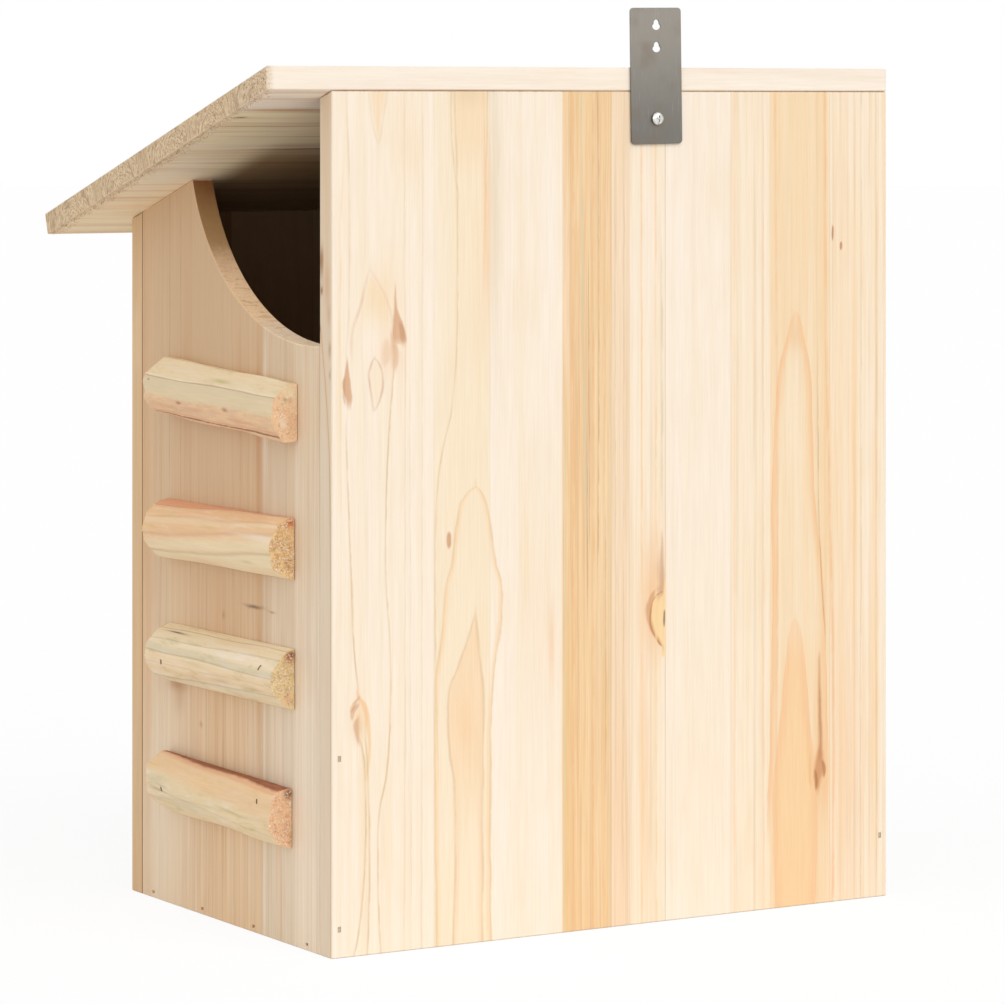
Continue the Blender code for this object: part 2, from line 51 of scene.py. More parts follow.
woodTones = {
    "ivory": "FCEDD9", "cream": "FBE9D0", "straw": "FAE8CC", "snow": "FCEEDC", "milk": "FDF0E0",
    "honey": "F6DCB4", "tan": "F7DCB6", "orange": "F4CE9D", "deepOrange": "EDBF8B", "apricot": "F7D3A2",
    "peach": "F6CBA0", "pinkish": "F7DCBC", "greyGreen": "DDCDA8", "greyTan": "DFCBA8", "lineTan": "DDBE90",
    "lineBrown": "B98F62", "knotTan": "DDB08C", "knotDeep": "C48F66", "rust": "CC8D5C", "darkBrown": "5E3A20",
    "flameOrange": "F6C899", "flameFill": "F9D2A0", "halfKnot": "FAD8A2",
    "sideTan": "ECCBA3", "sideShade": "D3B28D", "sideOrange": "E3B384", "sideBeige": "F2DFC4",
    "sideGrey": "E8D5BB", "sideStripe": "CD9E73", "edgeTan": "E9D5BA", "edgeBrown": "B98A62",
    "cutBright": "E4D0B6", "cutLight": "EFCBA2", "cutMid": "DBB58E", "cutLow": "A67F4E", "cutDark": "83501F",
    "cutStain": "5C2F0E", "frontTan": "E0BC90", "endTan": "DDBE99", "endDark": "8E6A48", "endLight": "F3DDBC",
    "underTan": "F0D2A6", "rungCream": "F8E4BE", "rungPale": "F3DCB3", "rungShade": "EAD3AC", "rungPeach": "F4C999",
    "salmon": "E8A37A", "bark": "EFC09A", "barkPink": "EBB08C", "barkDark": "8A4B28", "barkRed": "A65A35",
    "golden": "ECC080", "olive": "A5905C", "smear": "CFC083", "greyCream": "DDD0B2", "gold": "F7DCA4",
    "fireRed": "DE8A55", "endPeach": "F7CD9F", "endGold": "F8D494", "endSalmon": "F9CFA4", "knotRust": "B9784A",
    # crease: a tone for painted shade in the rungs' creases
    "barkFlesh": "E9BC96", "crease": "B39A74", "roofEnd": "DCBF99", "underPale": "FCEAC4",
}


def tone(name):
    parts = [int(woodTones[name][i:i + 2], 16) / 255 for i in (0, 2, 4)]
    return tuple(p / 12.92 if p <= 0.04045 else ((p + 0.055) / 1.055) ** 2.4 for p in parts) + (1.0,)


class Signal:  # one output socket of a shader or geometry tree; maths on it adds nodes to that tree
    def __init__(self, tree, socket):
        self.tree = tree
        self.socket = socket

    def node(self, kind, settings, inputs, output=0):
        made = self.tree.nodes.new(kind)
        for name, value in settings.items():
            if name == "points":  # of a curve that maps 0..1
                made.mapping.extend = "HORIZONTAL"
                curve = made.mapping.curves[0]
                for i, (x, y) in enumerate(value):
                    if i < 2:
                        curve.points[i].location = (x, y)
                    else:
                        curve.points.new(x, y)
                made.mapping.update()
            else:
                setattr(made, name, value)
        for key, value in inputs.items():
            if isinstance(value, Signal):
                self.tree.links.new(value.socket, made.inputs[key])
            else:
                made.inputs[key].default_value = value
        return Signal(self.tree, made.outputs[output])

    def maths(self, operation, *others):
        return self.node("ShaderNodeMath", {"operation": operation}, dict(enumerate((self, *others))))

    def __add__(self, other):
        return self.maths("ADD", other)

    __radd__ = __add__

    def __sub__(self, other):
        return self.maths("SUBTRACT", other)

    def __rsub__(self, other):
        return self.node("ShaderNodeMath", {"operation": "SUBTRACT"}, {0: other, 1: self})

    def __mul__(self, other):
        return self.maths("MULTIPLY", other)

    __rmul__ = __mul__

    def __abs__(self):
        return self.maths("ABSOLUTE")

    def rise(self, low, high, start=0.0, end=1.0):  # smooth step from start to end
        # clamp off: this kind stays in its range, and the clamp would cost the shader a node each
        return self.node("ShaderNodeMapRange", {"interpolation_type": "SMOOTHSTEP", "clamp": False},
                         {0: self, 1: low, 2: high, 3: start, 4: end})

    def fall(self, low, high):
        return self.rise(low, high, 1.0, 0.0)

    def within(self, low, high, fade):  # 1 between low and high, fading out over fade on both sides
        middle = (low + high) / 2
        half = (high - low) / 2
        return abs(self - middle).fall(half - fade, half + fade)

    def dot(self, axis):
        return self.node("ShaderNodeVectorMath", {"operation": "DOT_PRODUCT"}, {0: self, 1: axis}, 1)

    def scaled(self, size):
        return self.node("ShaderNodeVectorMath", {"operation": "SCALE"}, {0: self, "Scale": size})

    def between(self, low, high):  # the colour that lies this share of the way from low to high
        return self.node("ShaderNodeMix", {"data_type": "RGBA"}, {0: self, 6: low, 7: high}, 2)

    def toward(self, colour, factor):
        return self.node("ShaderNodeMix", {"data_type": "RGBA"}, {0: factor, 6: self, 7: colour}, 2)

    def times(self, colour, factor=1.0):
        return self.node("ShaderNodeMix", {"data_type": "RGBA", "blend_type": "MULTIPLY"},
                         {0: factor, 6: self, 7: colour}, 2)

    def step(self, values, factor):  # three numbers carried together
        return self.node("ShaderNodeMix", {"data_type": "VECTOR"}, {0: factor, 4: self, 5: values}, 1)

    def noise(self, scale, detail=2.0, roughness=0.5):
        return self.node("ShaderNodeTexNoise", {}, {"Vector": self, "Scale": scale, "Detail": detail,
                                                   "Roughness": roughness})


def join(x, y, z):
    source = next(part for part in (x, y, z) if isinstance(part, Signal))
    return source.node("ShaderNodeCombineXYZ", {}, {0: x, 1: y, 2: z})


def split(vector):
    parts = vector.node("ShaderNodeSeparateXYZ", {}, {0: vector})
    return [Signal(vector.tree, socket) for socket in parts.socket.node.outputs]


def sizedNoise(parts, sizes, detail, roughness=0.5):  # sizes: how many waves along each of the three
    return join(*[part * size for part, size in zip(parts, sizes)]).noise(1.0, detail, roughness)


def fromPoint(u, v, at, size):  # how far from a point, in sizes
    return (u - at[0]) * (1 / size[0]), (v - at[1]) * (1 / size[1])


def spot(du, dv):  # 1 in the middle, fading out like a bell
    return (0 - (du * du + dv * dv)).maths("EXPONENT")


def pathAcross(along, points):
    # a grain line's place across the board, as a curve of its place along the board
    stops = sorted(points)
    low, high = stops[0][0], stops[-1][0]
    least = min(u for v, u in stops) - 1
    reach = max(u for v, u in stops) + 1 - least
    if reach < 2.05:  # as good as straight
        return stops[0][1]
    share = (along - low) * (1 / (high - low))
    curve = share.node("ShaderNodeFloatCurve",
                       {"points": [((v - low) / (high - low), (u - least) / reach) for v, u in stops]},
                       {"Value": share})
    return curve * reach + least


def startMaterial(name):
    material = bpy.data.materials.new(name)
    material.use_nodes = True
    coordinates = material.node_tree.nodes.new("ShaderNodeTexCoord")
    return (material, *[Signal(material.node_tree, coordinates.outputs[label]) for label in ("Object", "Normal")])


def feedShader(material, colour, roughness, height, depth, strength, metallic=0.0):
    shader = material.node_tree.nodes["Principled BSDF"]
    shader.inputs["Metallic"].default_value = metallic
    bump = height.node("ShaderNodeBump", {}, {"Strength": strength, "Distance": depth, "Height": height})
    for label, signal in (("Base Color", colour), ("Roughness", roughness), ("Normal", bump)):
        material.node_tree.links.new(signal.socket, shader.inputs[label])


# sizes of the grain's noises, and how strong each one is where a board does not say
woodFigure = {"sway": 0.034, "streak": 0.17, "fibre": 1.05, "paleStreaks": 0.3}


def woodGrain(place, facing, board):
    # the rings of the log cut by the board: each stave has its own heart line, behind or in front of the face
    parts = [place.dot(Vector(axis) * perMetre) + offset for axis, offset in board["axes"]]
    across, along, through = parts
    first = board["staves"][0]
    stretched = join(across, along * (1 / board.get("stretch", 34)), through)
    sway = stretched.noise(woodFigure["sway"], 2.0) - 0.5
    streak = stretched.noise(woodFigure["streak"], 3.0, 0.6)
    fibre = stretched.noise(woodFigure["fibre"], 2.0, 0.6)
    wobble = sizedNoise(parts, (0.13, 0.05, 0.13), 3.0, 0.6) - 0.5

    bent = across + sway * board.get("sway", 3.2)
    lift = None
    for knot in board.get("knots", ()):
        near = spot(*fromPoint(across, along, knot["at"], knot["reach"]))
        bent = bent - (across - knot["at"][0]) * near * knot["push"]
        lift = near * knot["lift"] if lift is None else lift + near * knot["lift"]

    heart = join(across * 0 + first["heart"][0], first["heart"][1], first["heart"][2])
    ringSizes = join(across * 0 + 1 / first["spacing"], first["phase"], first["lines"])
    colour = across.node("ShaderNodeMix", {"data_type": "RGBA"},
                         {0: 0.0, 6: tone(first["tone"]), 7: tone(first["tone"])}, 2)
    soft = board.get("softEdge")
    for strip in board["staves"][1:]:
        if soft:
            past = (across + sway * 4).rise(strip["from"] - soft, strip["from"] + soft)
        else:
            past = across.maths("GREATER_THAN", strip["from"])
        heart = heart.step(strip["heart"], past)
        ringSizes = ringSizes.step((1 / strip["spacing"], strip["phase"], strip["lines"]), past)
        colour = colour.toward(tone(strip["tone"]), past)
    heartAcross, heartDepth, tilt = split(heart)
    perRing, phase, lineStrength = split(ringSizes)
    sideways = bent - heartAcross
    deep = through + heartDepth + along * tilt
    radius = (sideways * sideways + deep * deep).maths("SQRT")
    if lift is not None:
        radius = radius + lift
    ring = radius * perRing + phase
    withinRing = ring.maths("FRACT")
    ringNoise = ring.node("ShaderNodeTexNoise", {"noise_dimensions": "1D"},
                          {"W": ring * 0.83, "Scale": 1.0, "Detail": 1.0})
    fades = sizedNoise(parts, (0.11, 0.007, 0.11), 2.0)
    line = withinRing.rise(0.4, 0.9) * withinRing.fall(0.92, 1.0) * ringNoise.rise(0.36, 0.66) * fades.rise(0.36, 0.62)
    cloud = sizedNoise(parts, (0.03, 0.011, 0.03), 3.0, 0.6)

    grain = {"across": across, "along": along, "through": through, "parts": parts, "colour": colour, "line": line,
             "fibre": fibre, "streak": streak, "sway": sway, "wobble": wobble, "drift": along + wobble * 2.0,
             "place": place, "facing": facing, "ring": ring}
    paint(grain, board.get("streakTone", "honey"), streak.rise(0.46, 0.78) * board.get("streaks", 0.3))
    paint(grain, "milk", streak.fall(0.24, 0.46) * woodFigure["paleStreaks"])
    paint(grain, board.get("cloudTone", "honey"), cloud.rise(0.5, 0.75) * board.get("clouds", 0.3))
    paint(grain, "lineTan", line * lineStrength)
    return grain


def paint(grain, toneName, mask):
    grain["colour"] = grain["colour"].toward(tone(toneName), mask)


def addSeams(grain, board):
    for strip in board["staves"][1:]:
        if strip["seam"]:
            paint(grain, "lineBrown", abs(grain["across"] - strip["from"]).fall(0.05, 0.42) * strip["seam"])


def shapeDepth(grain, spine):
    # how far a place lies inside a long shape, given by its middle and half width at places along the board
    soft = grain["across"] + grain["sway"] + grain["wobble"] * 1.9
    middle = pathAcross(grain["drift"], [(v, u) for v, u, half in spine])
    half = pathAcross(grain["drift"], [(v, half) for v, u, half in spine])
    return half - abs(soft - middle)


def addMarks(grain, board):
    across, along = grain["across"], grain["drift"]
    soft = across + grain["sway"] * 1.2 + grain["wobble"] * 1.4
    broken = grain["wobble"].rise(-0.14, 0.1, 0.45, 1.0)  # outlines come and go along the board
    ribbonPlace = join(across, grain["along"] * 0.012, 0.0)
    for low, high, scale, dark, light, amount in board.get("lively", ()):
        ribbons = ribbonPlace.noise(scale, 3.0, 0.65)
        where = across.within(low, high, 0.5) * amount
        paint(grain, dark, ribbons.rise(0.5, 0.62) * where)
        paint(grain, light, ribbons.fall(0.38, 0.48) * where)
    for u, v, halfAcross, halfAlong, toneName, amount in board.get("patches", ()):
        paint(grain, toneName, spot(*fromPoint(soft, along, (u, v), (halfAcross, halfAlong))) * amount)
    for flame in board.get("flames", ()):
        depth = shapeDepth(grain, flame["spine"])
        if "from" in flame:  # the glue line that it stops at
            depth = depth - across.fall(flame["from"] - 0.05, flame["from"] + 0.05) * 40
        low, high = flame["spine"][0][0], flame["spine"][-1][0]
        reach = along.within(low, high + 0.5, flame.get("fade", 6))
        if "fill" in flame:
            fillTone, fillAmount, fillLow, fillHigh = flame["fill"]
            inside = depth.rise(0.1, flame.get("depth", 2.5)) * along.within(fillLow, fillHigh, flame.get("soft", 12))
            paint(grain, fillTone, inside * fillAmount)
        if "rim" in flame:  # strongest at the outline, fading inwards
            rimTone, rimAmount, rimDepth = flame["rim"]
            paint(grain, rimTone, depth.rise(-0.3, 0.1) * depth.fall(0.1, rimDepth) * reach * rimAmount)
        if "tone" in flame:
            outline = abs(depth).fall(0.0, flame.get("width", 0.8)) * broken
            paint(grain, flame["tone"], outline * reach * flame["amount"])
    for spine, toneName, amount, blur in board.get("strokes", ()):
        low, high = spine[0][0], spine[-1][0]
        ends = along.within(low, high, min(3, (high - low) * 0.15))
        paint(grain, toneName, shapeDepth(grain, spine).rise(-blur, blur) * ends * amount)
    for points, width, toneName, amount in board.get("strands", ()):
        away = abs(soft - pathAcross(along, points))
        low, high = min(p[0] for p in points), max(p[0] for p in points)
        ends = along.within(low, high, min(14, (high - low) * 0.3))
        paint(grain, toneName, away.fall(0.0, width) * broken * ends * amount)


def addKnots(grain, board):
    for knot in board.get("knots", ()):
        if "core" not in knot:  # it only bends the grain
            continue
        du, dv = fromPoint(grain["across"], grain["along"], knot["at"], knot["core"])
        far = (du * du + dv * dv).maths("SQRT") + (grain["streak"] - 0.5) * 0.7
        paint(grain, "knotDeep", far.fall(0.55, 1.15) * 0.8)
        paint(grain, "darkBrown", abs(far - 1.0).fall(0.0, 0.3) * 0.4)


def endSpeckle(cross, base, dark, light, amount):
    # sawn end grain: torn fibres catch the light between open pores
    fine = cross.noise(1.25, 4.0, 0.7)
    blotch = cross.noise(0.2, 2.0)
    cut = base.toward(tone(dark), fine.rise(0.51, 0.64) * 0.6 * amount)
    cut = cut.toward(tone(light), fine.fall(0.38, 0.48) * 0.75 * amount)
    cut = cut.toward(tone(dark), blotch.rise(0.5, 0.72) * 0.3 * amount)
    return cut, fine


def attribute(grain, label):
    return grain["place"].node("ShaderNodeAttribute", {"attribute_name": label}, {}, 2)


def tornTones(grain, colour):
    # loose fibres carry a random number each: most are paler than the cut, some darker
    torn = attribute(grain, "torn")
    return (colour.toward(tone("milk"), torn.rise(0.45, 0.75) * 0.75)
            .toward(tone("lineBrown"), torn.rise(0.1, 0.15) * torn.fall(0.26, 0.34) * 0.4))


def addEndGrain(grain, board):
    across, along, through = grain["parts"]
    facesAlong = abs(grain["facing"].dot(board["axes"][1][0])).rise(0.5, 0.86)
    if "tornEnd" in board:  # torn dashes that follow the rings
        cross = join(grain["ring"] * 2.9, across * 0.6, along * 0.4)
    else:
        cross = join(across, along * 0.4, through)
    cut = (grain["colour"].toward(tone(board.get("endTone", "endTan")), 0.85)
           .toward(tone("endDark"), grain["line"] * 0.5))
    cut, pores = endSpeckle(cross, cut, "endDark", "endLight", board.get("endSpeckle", 1.0))
    if "tornEnd" in board:  # it also breaks the faces beside it
        cut = tornTones(grain, cut)
        facesAlong = facesAlong.maths("MAXIMUM", along.rise(*board["tornEnd"]) * 0.6)
    grain["colour"] = grain["colour"].toward(cut, facesAlong * board.get("endAmount", 1.0))
    grain["endness"] = facesAlong
    grain["pores"] = pores


# painted shade: the chamber's inner faces are darkened in their colour, as the shade inside the box
chamberPaintedShade = (0.4, 0.3, 0.215, 1.0)  # the unlit chamber's wood, seen only through the entrance


# where the chamber's painted shade lies: the walls' inner faces, and the roof's underside over the chamber
def wallInside(grain):
    return grain["through"].fall(-10.7, -10.3)


def roofInside(grain):
    inX = grain["along"].within(-140, 134, 10)
    inY = grain["across"].fall(-118, -68) * grain["across"].rise(-203, -193)
    return grain["through"].fall(-9.9, -9.4) * inX * inY


fibreShade = (0.955, 0.935, 0.91, 1.0)


def finishWood(name, board, extra=None):
    material, place, facing = startMaterial(name)
    grain = woodGrain(place, facing, board)
    addSeams(grain, board)
    addMarks(grain, board)
    addKnots(grain, board)
    if extra:
        extra(grain)
    addEndGrain(grain, board)
    fibre, endness = grain["fibre"], grain["endness"]
    colour = grain["colour"].times(fibre.rise(0.25, 0.75).between(fibreShade, (1.0, 1.0, 1.0, 1.0)))
    # painted shade on the chamber's inner faces
    if "innerFace" in board:
        colour = colour.times(chamberPaintedShade, board["innerFace"](grain))
    roughness = 0.6 + fibre * 0.18 + endness * 0.12
    height = fibre * 0.6 + grain["line"] * 0.3 + endness * grain["pores"] * 1.6
    feedShader(material, colour, roughness, height, 0.0003, board.get("relief", 0.5))
    return material


def clothe(nodeName, material):
    mesh = nodes[nodeName].data
    mesh.materials.clear()
    mesh.materials.append(material)


def stave(start, toneName, heart=(0, 60, 0), spacing=4.0, phase=0.0, lines=0.3, seam=0.0):
    # heart: its place across, its depth behind the face, and how much deeper it lies per millimetre along
    return {"from": start, "tone": toneName, "heart": heart, "spacing": spacing, "phase": phase,
            "lines": lines, "seam": seam}


# the back: ten glued staves with upright grain, seen first by whoever hangs the box
# lively: from, to, waves per millimetre, dark tone, light tone, amount
# patches: across, along, their half sizes, tone, amount
# flames: a spine of along, across, half width, and how its fill, rim and outline are toned
# strokes: such a spine, tone, amount, blur; strands: points of along, across, then width, tone, amount
backBoard = {
    "axes": (((1, 0, 0), 0), ((0, 0, 1), 0), ((0, 1, 0), -97.5)),
    "innerFace": wallInside,
    "cloudTone": "honey",
    "lively": [
        (4.6, 30.3, 0.55, "knotTan", "honey", 0.5),
        (4.6, 30.3, 1.3, "golden", "apricot", 0.5),
        (-5.2, 4.6, 0.6, "lineTan", "snow", 0.3),
        (-24.5, -5.2, 0.5, "honey", "milk", 0.4),
        (30.3, 68.1, 0.16, "straw", "milk", 0.4),
        (96.8, 149, 0.2, "straw", "milk", 0.4),
        (-115.8, -82.1, 0.3, "flameFill", "straw", 0.35),
        (-149, -115.8, 0.3, "apricot", "milk", 0.4),
        (-82.1, -60.4, 0.4, "honey", "milk", 0.3),
    ],
    "staves": [
        stave(-149, "cream", (-262, 12, 0), 4.1, 0.45, 0.5),
        stave(-115.8, "tan", (-210, 40, 0), 4.3, 0.43, 0.35, 0.2),
        stave(-82.1, "cream", (-190, 14, 0), 4.6, 0.2, 0.45),
        stave(-60.4, "snow", (-140, 20, 0.01), 5.5, 0.1, 0.12, 0.22),
        stave(-24.5, "cream", (-110, 24, 0), 5.2, 0.3, 0.4, 0.4),
        stave(-5.2, "pinkish", (-80, 30, 0), 4.4, 0.1, 0.35, 0.15),
        stave(4.6, "orange", (-60, 18, 0), 3.4, 0.1, 0.6, 0.45),
        stave(30.3, "snow", (-40, 30, 0.01), 7.1, 0.0, 0.08, 0.1),
        stave(68.1, "straw", (78, 60, 0.05), 5.0, 0.0, 0.1, 0.1),
        stave(96.8, "ivory", (210, 24, 0.015), 6.5, 0.0, 0.16, 0.14),
    ],
    "knots": [
        {"at": (114.9, 272), "reach": (13, 26), "push": 0.55, "lift": 3.0},
        {"at": (134.4, 104.5), "reach": (9, 20), "push": 0.5, "lift": 2.5},
        {"at": (-21.8, 138), "reach": (9, 20), "push": 0.3, "lift": 1.0},
        {"at": (-109.5, 64), "reach": (7, 14), "push": 0.4, "lift": 1.0},
    ],
    "patches": [
        (123.5, 284, 6.0, 12, "apricot", 0.5),
        (119, 262, 6.5, 9, "peach", 0.45),
        (128, 270, 5, 16, "milk", 0.5),
        (69.5, 316, 2.6, 40, "flameOrange", 0.45),
        (65.2, 330, 3.0, 60, "greyTan", 0.45),
        (-110.0, 90, 2.4, 26, "deepOrange", 0.4),
        (79, 375, 8, 6, "greyTan", 0.5),
        (108, 350, 7, 18, "honey", 0.4),
        (98, 300, 5, 80, "milk", 0.5),
        (42, 150, 10, 60, "honey", 0.35),
        (36, 128, 1.6, 18, "flameOrange", 0.5),
        (50, 170, 2.6, 30, "honey", 0.45),
        (36, 300, 9, 60, "milk", 0.5),
        (131, 60, 3.0, 50, "honey", 0.5),
        (121, 50, 3.2, 40, "honey", 0.4),
        (-17.5, 148, 6.5, 26, "flameOrange", 0.75),
        (-13, 70, 3.0, 60, "flameOrange", 0.45),
        (0.5, 60, 3.6, 50, "peach", 0.45),
        (-27, 362, 1.2, 40, "milk", 0.6),
        (-122, 200, 6, 200, "apricot", 0.35),
        (-127, 60, 8, 60, "peach", 0.4),
        (-109, 58, 5.5, 16, "deepOrange", 0.5),
        (-99, 340, 9, 40, "honey", 0.4),
        (-97, 300, 3, 18, "honey", 0.6),
        (-93, 225, 5, 26, "straw", 0.6),
        (-45, 90, 14, 90, "straw", 0.45),
        (-32, 320, 3, 50, "milk", 0.6),
        (27.5, 70, 2.2, 70, "golden", 0.55),
        (8, 190, 3.0, 60, "honey", 0.6),
        (134.6, 103, 3.6, 8, "apricot", 0.6),
        (135.2, 99, 2.0, 4.5, "rust", 0.3),
        (80.5, 98, 5.5, 15, "flameOrange", 0.45),
        (-17.5, 139, 3.2, 16, "deepOrange", 0.35),
        (-20.8, 158, 1.8, 7, "knotTan", 0.5),
        (-109.6, 61, 3.4, 8, "deepOrange", 0.5),
        (-130, 230, 2.2, 120, "flameFill", 0.5),
        (-141, 120, 2.6, 120, "flameFill", 0.5),
        (-96.4, 262, 2.4, 9, "deepOrange", 0.55),
        (11.5, 190, 6.0, 170, "honey", 0.4),
        (-15, 300, 8, 70, "milk", 0.6),
    ],
    "flames": [
        {"spine": [(125.3, -24.5, 2.5), (129.9, -24.3, 5.6), (135.5, -24.3, 8.0), (140.2, -24.3, 7.8),
                   (146, -24.2, 6.0), (149.2, -24.0, 1.5)], "from": -24.6, "tone": "knotRust", "amount": 1.0,
         "width": 0.85, "fade": 0.6, "fill": ("halfKnot", 0.95, 120, 155), "depth": 0.6, "soft": 1},
        {"spine": [(353, 124.9, 0.1), (360, 125, 2.0), (376, 125, 4.4), (388, 125, 5.6)],
         "tone": "lineTan", "amount": 0.35, "fill": ("apricot", 0.45, 350, 390), "depth": 2, "width": 1.0},
        {"spine": [(330, 77, 7.0), (344, 78.4, 8.2), (355, 78.6, 9.0), (388, 78.7, 9.2)],
         "fill": ("flameFill", 0.35, 345, 392), "depth": 3, "tone": "lineTan", "amount": 0.5},
        {"spine": [(-5, 79.8, 7.8), (70, 79.1, 7.5), (86, 80.3, 8.8), (105, 80.6, 9.2), (122, 78.8, 6.0),
                   (134.5, 76.9, 2.6), (146, 75.6, 0.1)],
         "tone": "lineTan", "amount": 0.5, "width": 1.1, "fill": ("flameFill", 0.4, 60, 150), "depth": 3,
         "rim": ("flameOrange", 0.4, 3.5), "soft": 20},
        {"spine": [(-5, 81.5, 14), (70, 82, 14.2), (108, 81.5, 14.6), (152, 76.5, 14.8), (167, 76.4, 11.5),
                   (192, 76.6, 7.2), (197, 76.1, 4.8), (201.7, 75.5, 0.1)],
         "tone": "lineTan", "amount": 0.45, "width": 1.0, "rim": ("flameFill", 0.6, 3.0),
         "fill": ("straw", 0.5, 150, 200)},
        {"spine": [(236, 126.5, 0.1), (243, 125.8, 2.2), (252, 126, 3.4), (256, 126.2, 2.4), (259.5, 126.5, 0.1)],
         "tone": "knotTan", "amount": 0.75, "fade": 1, "fill": ("straw", 0.8, 236, 260), "depth": 1.5, "width": 1.0},
        {"spine": [(262, 127.5, 10.5), (272, 127.5, 10.0), (282, 126.6, 7.4), (290, 127.4, 4.2), (298.3, 128.8, 0.1)],
         "tone": "knotTan", "amount": 0.45, "fill": ("honey", 0.6, 278, 299), "depth": 2.5, "width": 1.3},
        {"spine": [(-5, -96.5, 10.5), (54, -96.0, 12.2), (77, -96.0, 9.4), (110, -96.2, 5.7), (126, -96.2, 3.3),
                   (133, -96.1, 0.1)],
         "fill": ("flameFill", 0.8, -20, 140), "depth": 2.2, "rim": ("flameOrange", 0.85, 6)},
        {"spine": [(40, -97.5, 17), (123, -98.3, 15.1), (157, -97.4, 13.9), (192, -95.1, 11.9), (243, -95.7, 9.4),
                   (262, -96.2, 5.0), (270, -96.5, 2.8), (275, -96.6, 0.1)],
         "rim": ("flameOrange", 0.9, 4.2), "fill": ("straw", 0.35, 120, 262), "depth": 7, "fade": 16},
    ],
    "strokes": [
        ([(266, 113.7, 2.3), (268, 114.1, 3.1), (274.2, 114.9, 2.4), (281, 116.0, 0.8), (291, 116.2, 0.2)],
         "knotTan", 0.95, 0.6),
        ([(266.4, 112.6, 0.8), (270, 112.8, 1.3), (275, 113.9, 0.7)], "knotDeep", 0.5, 0.5),
        ([(254, 116.6, 1.0), (260, 116.3, 1.7), (266, 117.2, 1.2), (271, 118.4, 0.4)], "knotTan", 0.55, 0.8),
        ([(256, 121.6, 1.2), (262, 120.8, 2.2), (268, 121.0, 0.8)], "knotTan", 0.28, 1.2),
        ([(262.5, 113.4, 0.5), (265.5, 114.6, 1.1)], "straw", 0.9, 0.4),
        ([(239.3, 139.4, 1.0), (241.5, 139.3, 1.3), (245, 140.0, 2.0), (249, 140.7, 2.1), (253, 140.6, 1.2),
          (260, 140.5, 0.3)], "knotTan", 0.95, 0.5),
        ([(240, 141.2, 0.5), (246, 142, 0.7), (252, 141.6, 0.4)], "knotDeep", 0.5, 0.5),
        ([(92, 134.6, 0.3), (97, 135.6, 0.9), (101, 135.9, 1.3), (104, 134.8, 0.6)], "knotTan", 0.75, 0.6),
        ([(103, 138.0, 0.6), (106, 137.6, 1.0), (108.6, 135.8, 1.3), (110, 134.6, 0.4)], "knotTan", 0.75, 0.5),
        ([(99, 130.0, 0.8), (104, 130.4, 1.2), (109, 131.9, 1.3), (113, 134.6, 0.7), (117, 135.2, 0.2)],
         "peach", 0.95, 0.8),
        ([(76, 131.0, 0.4), (88, 129.6, 0.6), (96, 129.4, 0.9), (101, 130.8, 1.4)], "apricot", 0.9, 0.9),
        ([(175, 89.2, 0.5), (178.6, 89.1, 1.2), (182, 89.0, 0.6)], "rust", 0.75, 0.5),
        ([(133.6, -24.0, 0.3), (137, -23.9, 0.5), (141, -24.0, 0.3)], "darkBrown", 0.7, 0.2),
        ([(124, -23.2, 0.5), (128, -20.4, 0.9), (133, -17.2, 1.1), (140, -15.4, 1.3), (146, -16.6, 1.2),
          (151, -20.2, 1.0)], "rust", 0.6, 0.9),
        ([(147, -20.4, 1.4), (153, -22.6, 1.2), (163, -22.8, 0.8), (176, -22.6, 0.3)], "knotDeep", 0.6, 0.9),
        ([(66, -110.0, 1.0), (80, -110.2, 1.1), (94, -109.8, 0.9), (116, -109.9, 0.3)], "rust", 0.65, 0.9),
        ([(70, -110.3, 0.3), (84, -110.1, 0.5), (100, -109.8, 0.3)], "knotDeep", 0.6, 0.4),
        ([(52, -108.6, 0.5), (57, -108.8, 1.8), (62, -109.8, 2.8), (67, -110.0, 2.0), (73, -110.3, 0.8)],
         "rust", 0.75, 1.4),
        ([(53, -107.6, 0.3), (58, -107.8, 0.9), (62, -107.4, 0.4)], "knotRust", 0.8, 0.5),
        ([(58, -112.4, 0.3), (62, -112.6, 0.9), (66, -111.6, 0.5)], "knotRust", 0.7, 0.5),
        ([(54.6, -104.6, 0.4), (63, -104.4, 0.8), (71, -104.6, 0.3)], "deepOrange", 0.7, 0.7),
        ([(106, 138.4, 0.5), (110, 136.6, 1.0), (112.5, 134.2, 0.8)], "rust", 0.5, 0.8),
        ([(307, -117.4, 0.3), (310.5, -117.4, 0.6), (314, -117.3, 0.3)], "knotRust", 0.8, 0.4),
        ([(302.5, -122.2, 0.3), (304.5, -122.2, 0.6), (306.5, -122.2, 0.3)], "knotRust", 0.8, 0.4),
    ],
    "strands": [
        ([(228, 140.9), (166, 138.4), (134, 137.0), (116, 134.6)], 0.8, "lineTan", 0.8),
        ([(262, 115.6), (250, 117.5), (174, 121.2), (121, 118.5), (81, 120.5), (49, 125.0), (-6, 123.1)],
         0.8, "lineTan", 0.75),
        ([(97, 135.5), (66, 131.0), (-6, 138.4)], 0.9, "lineTan", 0.8),
        ([(96, 131.5), (49, 129.2), (-6, 130.6)], 0.8, "lineTan", 0.7),
        ([(380, 86.5), (300, 84.6), (254, 85.6), (203, 94.7), (174, 96.0), (80, 94.5)], 0.9, "lineTan", 0.55),
        ([(340, 142.5), (285, 144), (200, 143.5)], 1.2, "honey", 0.7),
        ([(222, 17.4), (145, 17.0)], 0.6, "lineBrown", 0.6),
        ([(184, 7.5), (64, 7.3)], 0.7, "lineBrown", 0.4),
        ([(385, 11.8), (300, 11.0), (160, 11.6)], 0.7, "knotDeep", 0.6),
        ([(385, 20.6), (290, 19.6), (180, 17.8)], 1.2, "greyGreen", 0.95),
        ([(300, 16.6), (180, 16.0)], 0.5, "lineBrown", 0.55),
        ([(385, 14.5), (150, 14.0), (-5, 14.6)], 1.3, "deepOrange", 0.85),
        ([(385, 25.0), (-5, 24.6)], 2.0, "deepOrange", 0.75),
